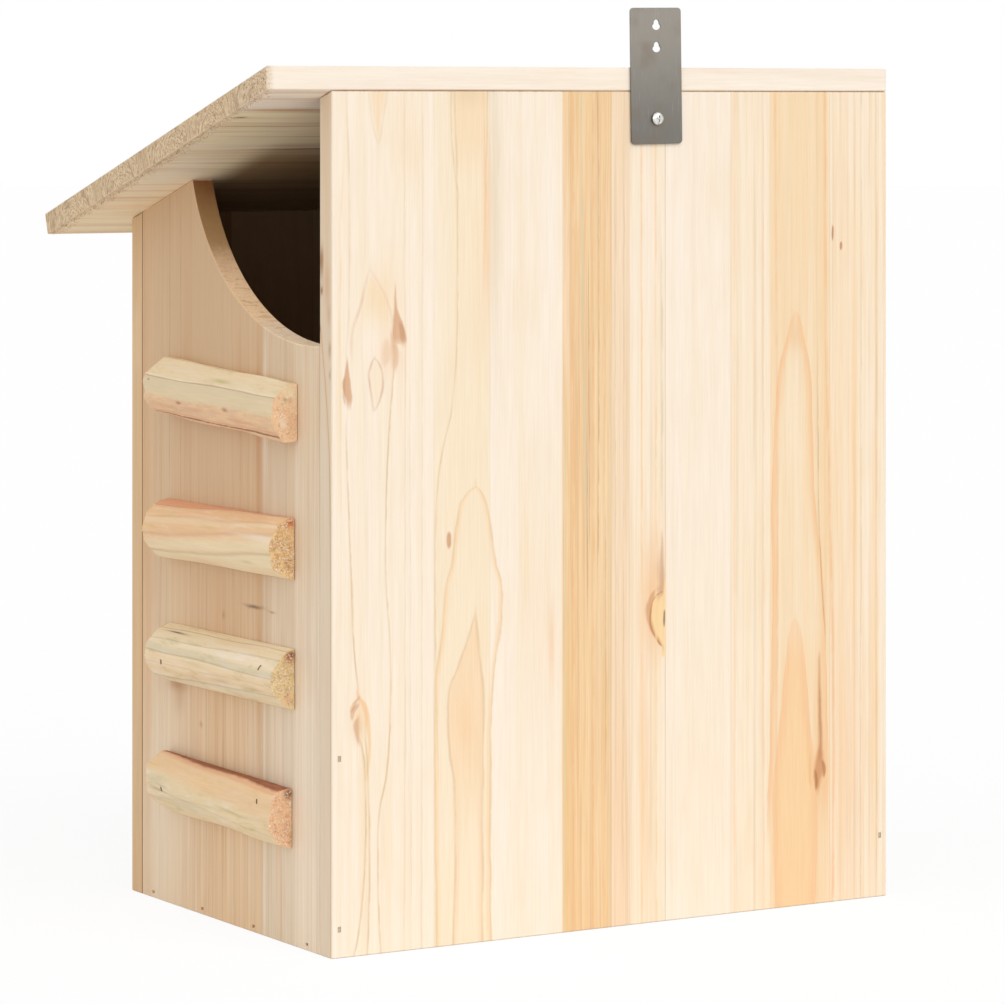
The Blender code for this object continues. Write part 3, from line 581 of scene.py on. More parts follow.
        ([(385, 7.4), (200, 8.4), (-5, 8.0)], 1.0, "deepOrange", 0.6),
        ([(260, 5.0), (100, 5.8), (-5, 5.2)], 0.8, "greyTan", 0.7),
        ([(340, 2.6), (60, 2.0)], 0.6, "greyTan", 0.7),
        ([(330, -2.4), (30, -1.8)], 0.6, "lineTan", 0.6),
        ([(375, -11.4), (-5, -11.9)], 0.9, "apricot", 0.9),
        ([(375, -19.0), (-5, -19.6)], 1.1, "apricot", 0.8),
        ([(300, -22.4), (190, -22.6)], 1.2, "greyGreen", 0.7),
        ([(375, 111.9), (170, 111.4), (-5, 112)], 0.7, "lineTan", 0.3),
        ([(250, 109.2), (-5, 108.4)], 0.6, "lineTan", 0.3),
        ([(375, 102.6), (-5, 103.2)], 0.6, "lineTan", 0.35),
        ([(375, 140.8), (300, 139.2), (262, 141)], 0.9, "lineTan", 0.4),
        ([(385, -113.0), (260, -113.6), (190, -115.4), (60, -117.7), (-5, -117)], 1.5, "flameOrange", 0.95),
        ([(250, -109.0), (186, -109.4), (123, -113.2)], 0.6, "lineBrown", 0.55),
        ([(385, -84.5), (150, -86.0), (-5, -85.0)], 1.3, "flameOrange", 0.7),
        ([(385, -62.0), (-5, -62.4)], 1.2, "flameOrange", 0.35),
        ([(385, -78.1), (-5, -78.4)], 0.8, "flameOrange", 0.5),
        ([(385, -133.5), (-5, -133.1)], 0.8, "lineTan", 0.5),
        ([(385, -141.9), (-5, -142.1)], 0.8, "lineTan", 0.45),
        ([(388, 72.0), (330, 70.6), (290, 71.4)], 0.8, "flameOrange", 0.7),
        ([(240, 28.6), (-5, 29.0)], 1.1, "greyGreen", 0.6),
    ],
}


edgeKnots = [  # along, through, half along, half through, tone, amount
    (303, -9.8, 4.5, 2.0, "edgeBrown", 0.9), (301, -8.6, 6.0, 1.0, "cutDark", 0.6),
    (290, -8.8, 2.0, 1.0, "cutDark", 0.9), (293, -4.0, 9.0, 2.8, "knotTan", 0.75),
    (279, -2.6, 5.0, 1.8, "knotDeep", 0.4), (264, -1.8, 3.5, 1.2, "edgeBrown", 0.6),
    (253, -1.6, 2.0, 0.9, "cutDark", 0.35), (340, -5.0, 60, 3.0, "sideTan", 0.6),
]
edgeLine = [(275, -10.2), (262, -8.0), (248, -5.6), (231, -3.4), (213, -1.9), (170, -1.2), (90, -1.0), (-5, -0.9)]


def backEdges(grain):
    # the long edge on the entrance side: duller, with a knot that surfaces at its inner corner
    sideways = grain["facing"].dot((1, 0, 0)).rise(0.5, 0.86)
    along = grain["along"] + grain["wobble"] * 6
    through = grain["through"] + grain["wobble"] * 1.5
    paint(grain, "edgeTan", sideways * 0.9)
    for v, deep, halfAlong, halfThrough, toneName, amount in edgeKnots:
        mark = spot(*fromPoint(along, through, (v, deep), (halfAlong, halfThrough)))
        paint(grain, toneName, mark * amount * sideways)
    away = abs(grain["through"] + grain["sway"] * 0.6 - pathAcross(grain["along"], edgeLine))
    line = away.fall(0.0, 0.75) * grain["along"].fall(272, 276) * grain["along"].rise(150, 250, 0.4, 0.9)
    glow = away.fall(0.0, 2.4) * grain["along"].fall(268, 276) * grain["along"].rise(200, 230) * 0.6
    paint(grain, "edgeBrown", line * sideways)
    paint(grain, "sideTan", glow * sideways)


clothe("back_panel", finishWood("back_wood", backBoard, backEdges))

# the entrance side: one quiet board, painted darker high up and around the middle rungs as shade and lighter low down
# as light, with a redder band near the back and a dull saw cut
sideBoard = {
    "axes": (((0, 1, 0), 0), ((0, 0, 1), 0), ((1, 0, 0), -148.0)),
    "innerFace": wallInside,
    "streakTone": "sideOrange",
    "streaks": 0.3,
    "lively": [
        (-99, 99, 0.22, "sideShade", "sideTan", 0.45),
        (-99, 34, 0.5, "sideStripe", "sideBeige", 0.32),
        (-99, 99, 1.2, "sideShade", "sideBeige", 0.14),
        (-70, -10, 0.75, "edgeBrown", "sideTan", 0.12),
        (34, 99, 0.3, "greyTan", "snow", 0.35),
    ],
    "cloudTone": "sideShade",
    "clouds": 0.4,
    "softEdge": 2.2,
    "endAmount": 0.3,
    "staves": [
        stave(-99, "sideTan", (-170, 16, 0), 4.0, 0.3, 0.18),
        stave(33.6, "sideGrey", (-60, 40, 0), 4.6, 0.0, 0.25, 0.1),
        stave(64, "sideBeige", (-60, 30, 0), 3.6, 0.0, 0.3),
    ],
    "patches": [
        # painted shade and light: the first six patches darken the side high up under the roof and around the middle
        # rungs, and lighten it low down at the front and the rear
        (-30, 275, 95, 125, "sideShade", 0.95),
        (0, 175, 45, 40, "sideShade", 0.4),
        (-2, 130, 38, 30, "sideStripe", 0.25),
        (-70, 40, 32, 80, "sideBeige", 0.9),
        (84, 70, 26, 90, "snow", 0.4),
        (-15, 165, 50, 45, "sideStripe", 0.16),
        (-88, 200, 9, 150, "sideStripe", 0.35),
        (-40, 250, 5, 50, "sideStripe", 0.3),
        (12, 235, 4, 40, "sideStripe", 0.4),
        (24, 60, 6, 50, "sideGrey", 0.4),
        (29.8, 215, 3.0, 60, "sideStripe", 0.9),
        (30.2, 120, 2.6, 50, "sideStripe", 0.6),
        (36, 235, 2.0, 30, "milk", 0.5),
        (-80.7, 120, 4.0, 160, "sideOrange", 0.45),
        (-60, 190, 3.0, 60, "greyTan", 0.4),
        (-10, 110, 5.0, 60, "sideOrange", 0.3),
        (25.5, 145.7, 8.0, 0.8, "darkBrown", 0.75),
        (42.6, 144.9, 3.0, 0.5, "lineBrown", 0.8),
        (-3.9, 139.2, 1.2, 1.6, "lineBrown", 0.8),
        (-26.3, 86.6, 1.4, 1.4, "lineBrown", 0.6),
        # painted shadow under rung 3, near its front end
        (-49.5, 102.5, 9, 3.2, "edgeBrown", 0.7),
        (-48, 97, 5, 8, "edgeBrown", 0.35),
    ],
    "strands": [
        ([(350, -57.7), (200, -58.2)], 0.55, "lineBrown", 0.6),
        ([(350, -46.5), (190, -46.9)], 0.55, "lineBrown", 0.6),
        ([(350, -36), (150, -36.5)], 0.6, "lineBrown", 0.3),
        ([(240, -68), (0, -68)], 0.6, "lineBrown", 0.3),
        ([(260, 5), (0, 5.5)], 0.7, "lineBrown", 0.3),
        ([(260, 20), (0, 19)], 0.7, "lineBrown", 0.35),
        ([(200, -20), (0, -21)], 0.6, "lineBrown", 0.3),
        ([(270, 12), (120, 12.6)], 0.8, "sideStripe", 0.6),
        ([(200, -5), (20, -4)], 0.8, "sideStripe", 0.5),
    ],
}


# the entrance's sawn edge: it starts above a height and behind a place, and its tones take over between two heights
entranceSaw = {
    "above": 262, "behind": -80, "wander": 12, "bright": (269, 276), "mid": (287, 299), "low": (296, 309),
    "dark": (314, 340), "stainAt": (344, -5.0), "stainSize": (5, 2.8),
}


def entranceCut(grain):
    # painted light and shade: pale low down where the light falls on it, painted dark up under the roof as shade
    cut = abs(grain["facing"].dot((1, 0, 0))).fall(0.3, 0.7)
    cut = cut * grain["along"].rise(entranceSaw["above"], entranceSaw["above"] + 2)
    cut = cut * grain["across"].rise(entranceSaw["behind"], entranceSaw["behind"] + 2)
    height = grain["along"] + grain["wobble"] * entranceSaw["wander"]
    saw = sizedNoise(grain["parts"], (0.5, 0.5, 0.12), 3.0, 0.6)
    stain = spot(*fromPoint(grain["along"], grain["through"], entranceSaw["stainAt"], entranceSaw["stainSize"]))
    sawn = (height.rise(*entranceSaw["mid"]).between(tone("cutLight"), tone("cutMid"))
            .toward(tone("cutBright"), height.fall(*entranceSaw["bright"]))
            .toward(tone("cutLow"), height.rise(*entranceSaw["low"]))
            .toward(tone("cutDark"), height.rise(*entranceSaw["dark"]))
            .toward(tone("lineBrown"), saw.rise(0.56, 0.62) * height.fall(298, 314) * 0.6)
            .toward(tone("cutLight"), saw.fall(0.36, 0.42) * height.fall(290, 312) * 0.3)
            .toward(tone("cutStain"), stain * 0.95))
    grain["colour"] = grain["colour"].toward(sawn, cut)


clothe("entrance_side_panel", finishWood("side_wood", sideBoard, entranceCut))

# the board on the far side has its own grain
plainSideBoard = dict(sideBoard)
plainSideBoard.update({
    "axes": (((0, 1, 0), 31), ((0, 0, 1), 17), ((-1, 0, 0), -148.0)),
    "staves": [
        stave(-90, "sideBeige", (40, 21, 0.03), 4.2, 0.3, 0.4),
        stave(-12, "sideTan", (60, 20, 0.02), 4.2, 0.1, 0.45, 0.25),
        stave(71, "sideBeige", (0, 60, 0.01), 4.6, 0.0, 0.25, 0.2),
    ],
    "knots": [{"at": (38, 210), "reach": (15, 30), "push": 0.6, "lift": 3.0, "core": (4.5, 6.0)}],
    "patches": [(20, 80, 5, 60, "honey", 0.4)],
    "strands": [],
})
clothe("plain_side_panel", finishWood("plain_side_wood", plainSideBoard))

frontBoard = {
    "axes": (((1, 0, 0), 0), ((0, 0, 1), 0), ((0, -1, 0), -97.5)),
    "innerFace": wallInside,
    "staves": [
        stave(-149, "straw", (-118, 20, 0.03), 4.2, 0.2, 0.5),
        stave(-92, "cream", (-240, 22, 0), 4.8, 0.1, 0.3, 0.3),
        stave(-48, "tan", (-20, 18, 0.025), 4.1, 0.5, 0.5, 0.3),
        stave(3, "ivory", (-70, 24, 0), 5.0, 0.0, 0.25, 0.3),
        stave(57, "straw", (76, 19, 0.031), 4.4, 0.1, 0.5, 0.3),
        stave(101, "frontTan", (260, 22, 0), 3.9, 0.1, 0.35, 0.3),
    ],
    "knots": [
        {"at": (-66, 262), "reach": (14, 28), "push": 0.6, "lift": 3.0, "core": (4.2, 6.4)},
        {"at": (34, 118), "reach": (11, 24), "push": 0.5, "lift": 2.0, "core": (2.6, 3.9)},
        {"at": (121, 305), "reach": (8, 16), "push": 0.4, "lift": 1.4, "core": (1.5, 2.1)},
    ],
    "patches": [(-20, 180, 7, 50, "apricot", 0.4), (76, 60, 8, 36, "apricot", 0.45)],
}
clothe("front_panel", finishWood("front_wood", frontBoard))

floorBoard = {
    "axes": (((0, 1, 0), 0), ((1, 0, 0), 0), ((0, 0, -1), 0)),
    "innerFace": wallInside,
    "staves": [
        stave(-90, "cream", (-30, 20, 0.02), 4.2, 0.2, 0.4),
        stave(-21, "straw", (20, 24, 0.02), 4.4, 0.1, 0.4, 0.3),
        stave(42, "tan", (110, 20, 0), 4.0, 0.1, 0.4, 0.3),
    ],
    "knots": [{"at": (8, -60), "reach": (10, 26), "push": 0.5, "lift": 2.0, "core": (2.6, 4.2)}],
}
clothe("floor_panel", finishWood("floor_wood", floorBoard))

# the roof slopes to the front, and its grain runs from side to side
roofSlope = math.radians(17.06)
roofDown = (0.0, math.cos(roofSlope), math.sin(roofSlope))
roofUp = (0.0, -math.sin(roofSlope), math.cos(roofSlope))
roofRear = (0.0, 97.5, 387.0)
roofBoard = {
    "axes": ((roofDown, -sum(a * b for a, b in zip(roofDown, roofRear))),
             ((1, 0, 0), 0),
             (roofUp, -sum(a * b for a, b in zip(roofUp, roofRear)))),
    "innerFace": roofInside,
    "softEdge": 5,
    "stretch": 26,
    "endTone": "roofEnd",
    "endSpeckle": 1.3,
    "tornEnd": (175.5, 179.5),
    "lively": [
        (-240, 2, 0.14, "sideStripe", "milk", 0.35),
        (-240, 2, 0.5, "sideShade", "straw", 0.22),
        (-110, -20, 1.1, "lineBrown", "underTan", 0.12),
    ],
    "staves": [
        stave(-236, "underPale", (-206, 16, 0), 2.8, 0.2, 0.2),
        stave(-176, "underPale", (-152, 14, 0), 2.7, 0.2, 0.2, 0.1),
        stave(-128, "underPale", (-96, 15, 0), 2.6, 0.1, 0.2, 0.1),
        stave(-78, "underPale", (-58, 14, 0), 2.9, 0.3, 0.2, 0.1),
        stave(-34, "milk", (-12, 17, 0), 2.9, 0.4, 0.2, 0.1),
    ],
    "patches": [
        (-33, 154, 2.4, 24, "sideStripe", 0.9),
        (-36, 128, 1.4, 20, "lineBrown", 0.5),
        (-44, 172, 1.0, 3, "darkBrown", 0.8),
        (-58, 150, 0.8, 36, "lineBrown", 0.6),
        (-93.6, 112, 0.8, 28, "darkBrown", 0.9),
        (-88, 124, 2.0, 26, "sideStripe", 0.4),
        (-74, 120, 1.0, 40, "lineBrown", 0.5),
        (-124, 168, 1.6, 16, "sideStripe", 0.4),
        (-150, 160, 1.2, 40, "lineTan", 0.5),
        (-186, 160, 1.6, 30, "peach", 0.5),
        (-172, 160, 1.2, 26, "sideStripe", 0.3),
        # painted light: a pale patch on the underside, out beyond the entrance side
        (-130, 164, 34, 14, "milk", 0.5),
    ],
}


def roofEdges(grain):
    # the planed rear edge is paler than the faces
    paint(grain, "milk", grain["facing"].dot(roofDown).rise(0.5, 0.86) * 0.75)


clothe("roof_panel", finishWood("roof_wood", roofBoard, roofEdges))
print("boards finished:", len(bpy.data.materials), "materials")

# the ladder: four sticks split by hand from round wood, no two alike; lengths here are in millimetres
wallFace = 148.3
backFace = 97.5
rungWave = 0.35
rungs = {
    "rung_1": {
        "height": 25.7, "depth": 12.8, "length": 124.6, "rearInset": 30.9, "foot": 222.5, "lift": 5.4,
        "rear": [(0, 0), (.50, 0), (.72, .12), (.90, .28), (1.0, .45), (.96, .62), (.85, .75), (.20, 1.0), (0, .97)],
        "front": [(0, 0), (.45, .01), (.70, .10), (.96, .26), (1.03, .42), (1.05, .60), (.94, .71), (.22, 1.0),
                  (0, .98)],
        "soften": 1, "outside": False,
        "creases": [(.672, .648, .016, .42), (.483, .43, .03, .22), (.8, .78, .03, -.12)],
        "bark": ("below", 0.49, 0.47, 0.43), "barkEdge": 0.08,
        "fibre": 0.16, "ripple": 0.35, "rough": 0.5, "seed": 3.0, "torn": 0.3,
    },
    "rung_2": {
        "height": 27.7, "depth": 12.4, "length": 123.2, "rearInset": 33.6, "foot": 161.0, "lift": -0.6,
        "rear": [(0, 0), (.42, .06), (.80, .19), (1.0, .40), (.99, .52), (.90, .68), (.72, .88), (.10, 1.0), (0, .98)],
        "front": [(0, 0), (.44, .04), (.78, .15), (.98, .31), (1.06, .48), (1.04, .62), (.88, .78), (.46, .93),
                  (0, .98)],
        "soften": 3, "outside": False,
        "creases": [(.765, .7, .016, .45), (.655, .485, .017, .42), (.42, .25, .017, .38),
                    (.56, .4, .03, -.22), (.72, .6, .03, -.2)],
        "bark": None,
        "fibre": 0.14, "ripple": 0.5, "rough": 0.75, "seed": 7.0, "torn": 1.2,
    },
    "rung_3": {
        "height": 27.0, "depth": 12.0, "length": 121.5, "rearInset": 33.5, "foot": 103.8, "lift": -0.4,
        "rear": [(0, 0), (.34, .07), (.64, .17), (.92, .33), (1.0, .45), (.93, .62), (.56, .86), (.28, .95), (0, 1.0)],
        "front": [(0, 0), (.40, .06), (.70, .15), (1.06, .33), (1.10, .46), (.98, .66), (.60, .88), (.30, .96),
                  (0, 1.0)],
        "soften": 2, "outside": True,
        "creases": [(.78, .72, .015, .45), (.545, .585, .016, .38), (.3, .23, .018, .38),
                    (.66, .66, .04, -.3), (.42, .43, .02, .2)],
        "bark": None,
        "fibre": 0.2, "ripple": 0.4, "rough": 0.6, "seed": 11.0, "torn": 0.8,
    },
    "rung_4": {
        "height": 26.3, "depth": 11.6, "length": 119.5, "rearInset": 36.0, "foot": 42.8, "lift": 1.4,
        "rear": [(0, 0), (.32, .03), (.60, .11), (.88, .24), (1.0, .38), (.97, .62), (.88, .82), (.68, .96), (0, 1.0)],
        "front": [(0, 0), (.36, .04), (.70, .17), (.98, .34), (1.07, .52), (1.06, .66), (.96, .82), (.44, 1.01),
                  (0, 1.0)],
        "soften": 2, "outside": True,
        "creases": [(.6, .5, .05, .35), (.36, .33, .02, .25), (.7, .62, .04, -.2)],
        "bark": ("above", 0.835, 0.845, 0.87), "barkEdge": 0.06,
        "fibre": 0.16, "ripple": 0.4, "rough": 0.6, "seed": 17.0, "torn": 0.8,
    },
}
rungMesh = {"stations": 160, "pitch": 0.62, "capRings": 16, "barkDepth": 0.4}
nailSlot = {"from": 147.6, "outside": 9.0, "inside": 0.3, "room": 0.12}  # outside and inside: past the brad's end
rungFibres = {"density": 1.2e6, "length": 0.9, "thickness": 0.42, "splay": 1.3}


def addPiece(name, data):
    piece = bpy.data.objects.new(name, data)
    scene.collection.objects.link(piece)
    return piece


def meshFrom(work, name):
    mesh = bpy.data.meshes.new(name)
    work.to_mesh(mesh)
    work.free()
    return mesh


def boxInMm(name):
    return [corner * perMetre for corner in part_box(name)]


def addBlock(work, low, high):
    middle = (low + high) / 2 / perMetre
    size = (high - low) / perMetre
    bmesh.ops.create_cube(work, size=1.0, matrix=Matrix.Translation(middle) @ Matrix.Diagonal((*size, 1.0)))


def rungSection(shape, number, share):
    # the nine corners of the stick at one station, in depth from the wall and height above the foot
    corners = []
    for i, (rear, front) in enumerate(zip(shape["rear"], shape["front"])):
        out, up = [a + (b - a) * share for a, b in zip(rear, front)]
        out, up = out * shape["depth"], up * shape["height"]
        if 0 < i < len(shape["rear"]) - 1:
            phase = 0.37 * i + 0.61 * number
            out += rungWave * math.sin(math.tau * (1.3 * share + phase))
            up += rungWave * math.cos(math.tau * (1.7 * share + phase))
        corners.append((out, up))
    return corners


def rungPoint(shape, share, out, up):  # share runs from the rear end to the front end
    return (wallFace + out, backFace - shape["rearInset"] - shape["length"] * share,
            shape["foot"] + up + shape["lift"] * share)


def barkLine(shape, share, place):
    # how far inside the strip that still has its bark: below or above a line along the stick
    if not shape["bark"]:
        return -1.0
    side, rear, middle, front = shape["bark"]
    border = rear * (1 - share) + front * share + (middle - (rear + front) / 2) * 4 * share * (1 - share)
    return border - place if side == "below" else place - border


def rungSkin(name, shape, number):
    middle = rungSection(shape, number, 0.5)
    loop = middle + middle[:1]
    counts = [max(2, round(math.dist(a, b) / rungMesh["pitch"])) for a, b in zip(loop, loop[1:])]
    total, outerCount = sum(counts), sum(counts[:-1])
    around = np.minimum(1.0, np.arange(total) / outerCount)
    work = bmesh.new()
    layers = [work.verts.layers.float.new(label) for label in ("around", "cap", "barkLine")]

    def sectionPoints(share):
        corners = rungSection(shape, number, share)
        corners.append(corners[0])
        outer = np.array([(a[0] + (b[0] - a[0]) * k / count, a[1] + (b[1] - a[1]) * k / count)
                          for (a, b), count in zip(zip(corners, corners[1:]), counts) for k in range(count)])
        for turn in range(shape["soften"]):
            before = outer.copy()
            outer[2:outerCount - 1] = (before[1:outerCount - 2] + 2 * before[2:outerCount - 1]
                                       + before[3:outerCount]) / 4
        inward = outer[:outerCount].mean(axis=0) - outer
        inward /= np.linalg.norm(inward, axis=1)[:, None]
        for rearAt, frontAt, width, depth in shape["creases"]:
            at = rearAt + (frontAt - rearAt) * share + 0.006 * math.sin(math.tau * (1.3 * share + rearAt * 3))
            fade = 0.65 + 0.35 * math.sin(math.tau * (0.9 * share + frontAt * 5))
            outer = outer + inward * (depth * fade * np.exp(-((around - at) / width) ** 2))[:, None]
        return outer

    def addVert(share, out, up, *values):
        vert = work.verts.new(Vector(rungPoint(shape, share, out, up)) / perMetre)
        for layer, value in zip(layers, values):
            vert[layer] = value
        return vert

    def addFace(corners, turned=False):
        work.faces.new(corners[::-1] if turned else corners)

    def addBelt(near, far, turned=False):
        for k in range(total):
            addFace((near[k], near[(k + 1) % total], far[(k + 1) % total], far[k]), turned)

    rings = []
    for station in range(rungMesh["stations"] + 1):
        share = station / rungMesh["stations"]
        rings.append([addVert(share, out, up, place, 0.0, barkLine(shape, share, place))
                      for place, (out, up) in zip(around, sectionPoints(share))])
    for near, far in zip(rings, rings[1:]):
        addBelt(near, far)
    for share, last, turned in ((0.0, rings[0], True), (1.0, rings[-1], False)):
        section = sectionPoints(share)
        heart = section.mean(axis=0)
        for inner in range(1, rungMesh["capRings"]):
            drawnIn = section + (heart - section) * (inner / rungMesh["capRings"])
            ring = [addVert(share, out, up, place, min(1.0, inner / 1.5), -1.0)
                    for place, (out, up) in zip(around, drawnIn)]
            addBelt(last, ring, turned)
            last = ring
        centre = addVert(share, *heart, 0.5, 1.0, -1.0)
        for k in range(total):
            addFace((last[k], last[(k + 1) % total], centre), turned)
    bmesh.ops.recalc_face_normals(work, faces=work.faces)
    return meshFrom(work, name + "_split")


def group(name, floats, others):
    tree = bpy.data.node_groups.new(name, "GeometryNodeTree")
    for label, kind in [("Geometry", "Geometry"), *[(label, "Float") for label in floats], *others]:
        tree.interface.new_socket(label, in_out="INPUT", socket_type="NodeSocket" + kind)
    tree.interface.new_socket("Geometry", in_out="OUTPUT", socket_type="NodeSocketGeometry")
    given = tree.nodes.new("NodeGroupInput")
    return tree, {socket.name: Signal(tree, socket) for socket in given.outputs if socket.name}


def closeGroup(tree, geometry, material):
    real = geometry.node("GeometryNodeRealizeInstances", {}, {"Geometry": geometry})
    clad = real.node("GeometryNodeSetMaterial", {}, {"Geometry": real, "Material": material})
    tree.links.new(clad.socket, tree.nodes.new("NodeGroupOutput").inputs["Geometry"])
    return tree


def addTree(piece, tree, values):
    modifier = piece.modifiers.new(tree.name, "NODES")
    modifier.node_group = tree
    for socket in tree.interface.items_tree:
        if socket.item_type == "SOCKET" and socket.in_out == "INPUT" and socket.name in values:
            modifier[socket.identifier] = values[socket.name]


def plainMesh(piece):
    # the evaluated result becomes the piece's own mesh, and the modifiers go
    made = bpy.data.meshes.new_from_object(piece.evaluated_get(bpy.context.evaluated_depsgraph_get()))
    piece.modifiers.clear()
    piece.data = made


splitWaves = {  # metres across, metres along, detail and height of the waves in the split wood
    "Fibre": (0.0016, 0.030, 2.0, 2.0), "Ripple": (0.0075, 0.060, 1.0, 2.0), "Rough": (0.0012, 0.0012, 3.0, 2.0),
    "Bark edge": (0.0028, 0.0080, 3.0, 2.0), "Bark depth": (0.0016, 0.0042, 3.0, 2.6),
}


def splitWoodTree():
    tree, given = group("split_wood", ("Fibre", "Ripple", "Rough", "Bark depth", "Bark edge", "Seed"),
                        [("Wood", "Material")])
    base = given["Geometry"]
    normal = base.node("GeometryNodeInputNormal", {}, {})
    edge, cap = [base.node("GeometryNodeInputNamedAttribute", {"data_type": "FLOAT"}, {"Name": label})
                 for label in ("barkLine", "cap")]
    x, y, z = split(base.node("GeometryNodeInputPosition", {}, {}))

    def waves(label):
        acrossSize, alongSize, detail, height = splitWaves[label]
        place = join(x * (1 / acrossSize), y * (1 / alongSize), z * (1 / acrossSize))
        noise = base.node("ShaderNodeTexNoise", {"noise_dimensions": "4D"},
                          {"Vector": place, "W": given["Seed"], "Scale": 1.0, "Detail": detail, "Roughness": 0.55})
        return (noise - 0.5) * given[label] * height

    fibre, ripple, chewed, ragged, scaly = [waves(label) for label in splitWaves]
    bark = (edge + ragged).rise(-0.008, 0.03)
    free = (x - (wallFace + 0.2) / perMetre).rise(0.0, 0.0012)  # 0 where the stick lies on the wall
    skin = (fibre + ripple) * (1 - cap) + bark * (given["Bark depth"] + scaly) * (1 - cap)
    offset = normal.scaled((skin * free + chewed * cap) * (1 / perMetre))
    kept = base.node("GeometryNodeStoreNamedAttribute", {"data_type": "FLOAT", "domain": "POINT"},
                     {"Geometry": base, "Name": "bark", "Value": bark})
    moved = kept.node("GeometryNodeSetPosition", {}, {"Geometry": kept, "Offset": offset})
    return closeGroup(tree, moved, given["Wood"])


def tornFibreTree():
    # short torn fibres that stand out of sawn end grain, scattered over the faces of a base mesh
    tree, given = group("torn_fibres", ("Density", "Length", "Thickness", "Splay"),
                        [("Seed", "Int"), ("Wood", "Material")])
    base = given["Geometry"]
    spread = base.node("GeometryNodeDistributePointsOnFaces", {"distribute_method": "RANDOM"},
                       {"Mesh": base, "Density": given["Density"], "Seed": given["Seed"]})
    normal = Signal(tree, spread.socket.node.outputs["Normal"])
    lean = base.node("FunctionNodeRandomValue", {"data_type": "FLOAT_VECTOR"},
                     {"Min": (-1, -1, -1), "Max": (1, 1, 1), "Seed": given["Seed"]})
    aim = normal.node("ShaderNodeVectorMath", {"operation": "ADD"}, {0: normal, 1: lean.scaled(given["Splay"])})
    turn = aim.node("FunctionNodeAlignRotationToVector", {"axis": "Z"}, {"Vector": aim})
    size = base.node("FunctionNodeRandomValue", {"data_type": "FLOAT"},
                     {"Min": 0.4, "Max": 1.3, "Seed": given["Seed"]}, 1)
    cone = base.node("GeometryNodeMeshCone", {"fill_type": "NGON"},
                     {"Vertices": 4, "Side Segments": 1, "Radius Top": given["Thickness"] * 0.35,
                      "Radius Bottom": given["Thickness"], "Depth": given["Length"]})
    placed = spread.node("GeometryNodeInstanceOnPoints", {},
                         {"Points": spread, "Instance": cone, "Rotation": turn, "Scale": size})
    ownNumber = base.node("FunctionNodeRandomValue", {"data_type": "FLOAT"}, {"Min": 0.16, "Max": 1.0, "Seed": 9}, 1)
    kept = placed.node("GeometryNodeStoreNamedAttribute", {"data_type": "FLOAT", "domain": "INSTANCE"},
                       {"Geometry": placed, "Name": "torn", "Value": ownNumber})
    return closeGroup(tree, kept, given["Wood"])


splitWood = splitWoodTree()
tornFibre = tornFibreTree()


def addFibres(name, corners, faces, sizes, material, slotName):
    mesh = bpy.data.meshes.new(name)
    mesh.from_pydata(corners, [], faces)
    piece = addPiece(name, mesh)
    addTree(piece, tornFibre, {"Density": sizes["density"], "Length": sizes["length"] / perMetre,
                               "Thickness": sizes["thickness"] / perMetre, "Splay": sizes["splay"],
                               "Seed": sizes["seed"], "Wood": material})
    plainMesh(piece)
    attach(piece, "box")


def nailRoom(name, shape):
    # a slot for each of the rung's two brads, as wide as the brad's head
    work = bmesh.new()
    room = nailSlot["room"]
    for end in ("front", "rear"):
        low, high = boxInMm(name + "_nail_" + end)
        reach = high.x + nailSlot["outside" if shape["outside"] else "inside"]
        addBlock(work, Vector((nailSlot["from"], low.y - room, low.z - room)),
                 Vector((reach, high.y + room, high.z + room)))
    return addPiece(name + "_slots", meshFrom(work, name + "_slots"))


def endFaces(shape, number):
    # the stick's two sawn ends, drawn in a little from their rims
    corners = []
    faces = []
    for share in (0.0, 1.0):
        section = np.array(rungSection(shape, number, share))
        section = section + (section.mean(axis=0) - section) * 0.05
        start = len(corners)
        corners += [tuple(c / perMetre for c in rungPoint(shape, share, out, up)) for out, up in section]
        order = list(range(start, len(corners)))
        faces.append(order[::-1] if share == 0.0 else order)
    return corners, faces


def buildRung(name, number, material):
    shape = rungs[name]
    piece = addPiece(name + "_stick", rungSkin(name, shape, number))
    addTree(piece, splitWood, {"Fibre": shape["fibre"], "Ripple": shape["ripple"], "Rough": shape["rough"],
                               "Bark depth": rungMesh["barkDepth"], "Bark edge": shape.get("barkEdge", 0.0),
                               "Seed": shape["seed"], "Wood": material})
    slots = nailRoom(name, shape)
    cut = piece.modifiers.new("slots", "BOOLEAN")
    cut.operation = "DIFFERENCE"
    cut.solver = "EXACT"
    cut.object = slots
    plainMesh(piece)
    bpy.data.objects.remove(slots)
    piece.data.polygons.foreach_set("use_smooth", [True] * len(piece.data.polygons))
    piece.data.set_sharp_from_angle(angle=math.radians(50))
    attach(piece, "box")
    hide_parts(name)
    fibres = dict(rungFibres, seed=number + 5, density=rungFibres["density"] * shape["torn"])
    addFibres(name + "_torn_ends", *endFaces(shape, number), fibres, material, name + "_wood")


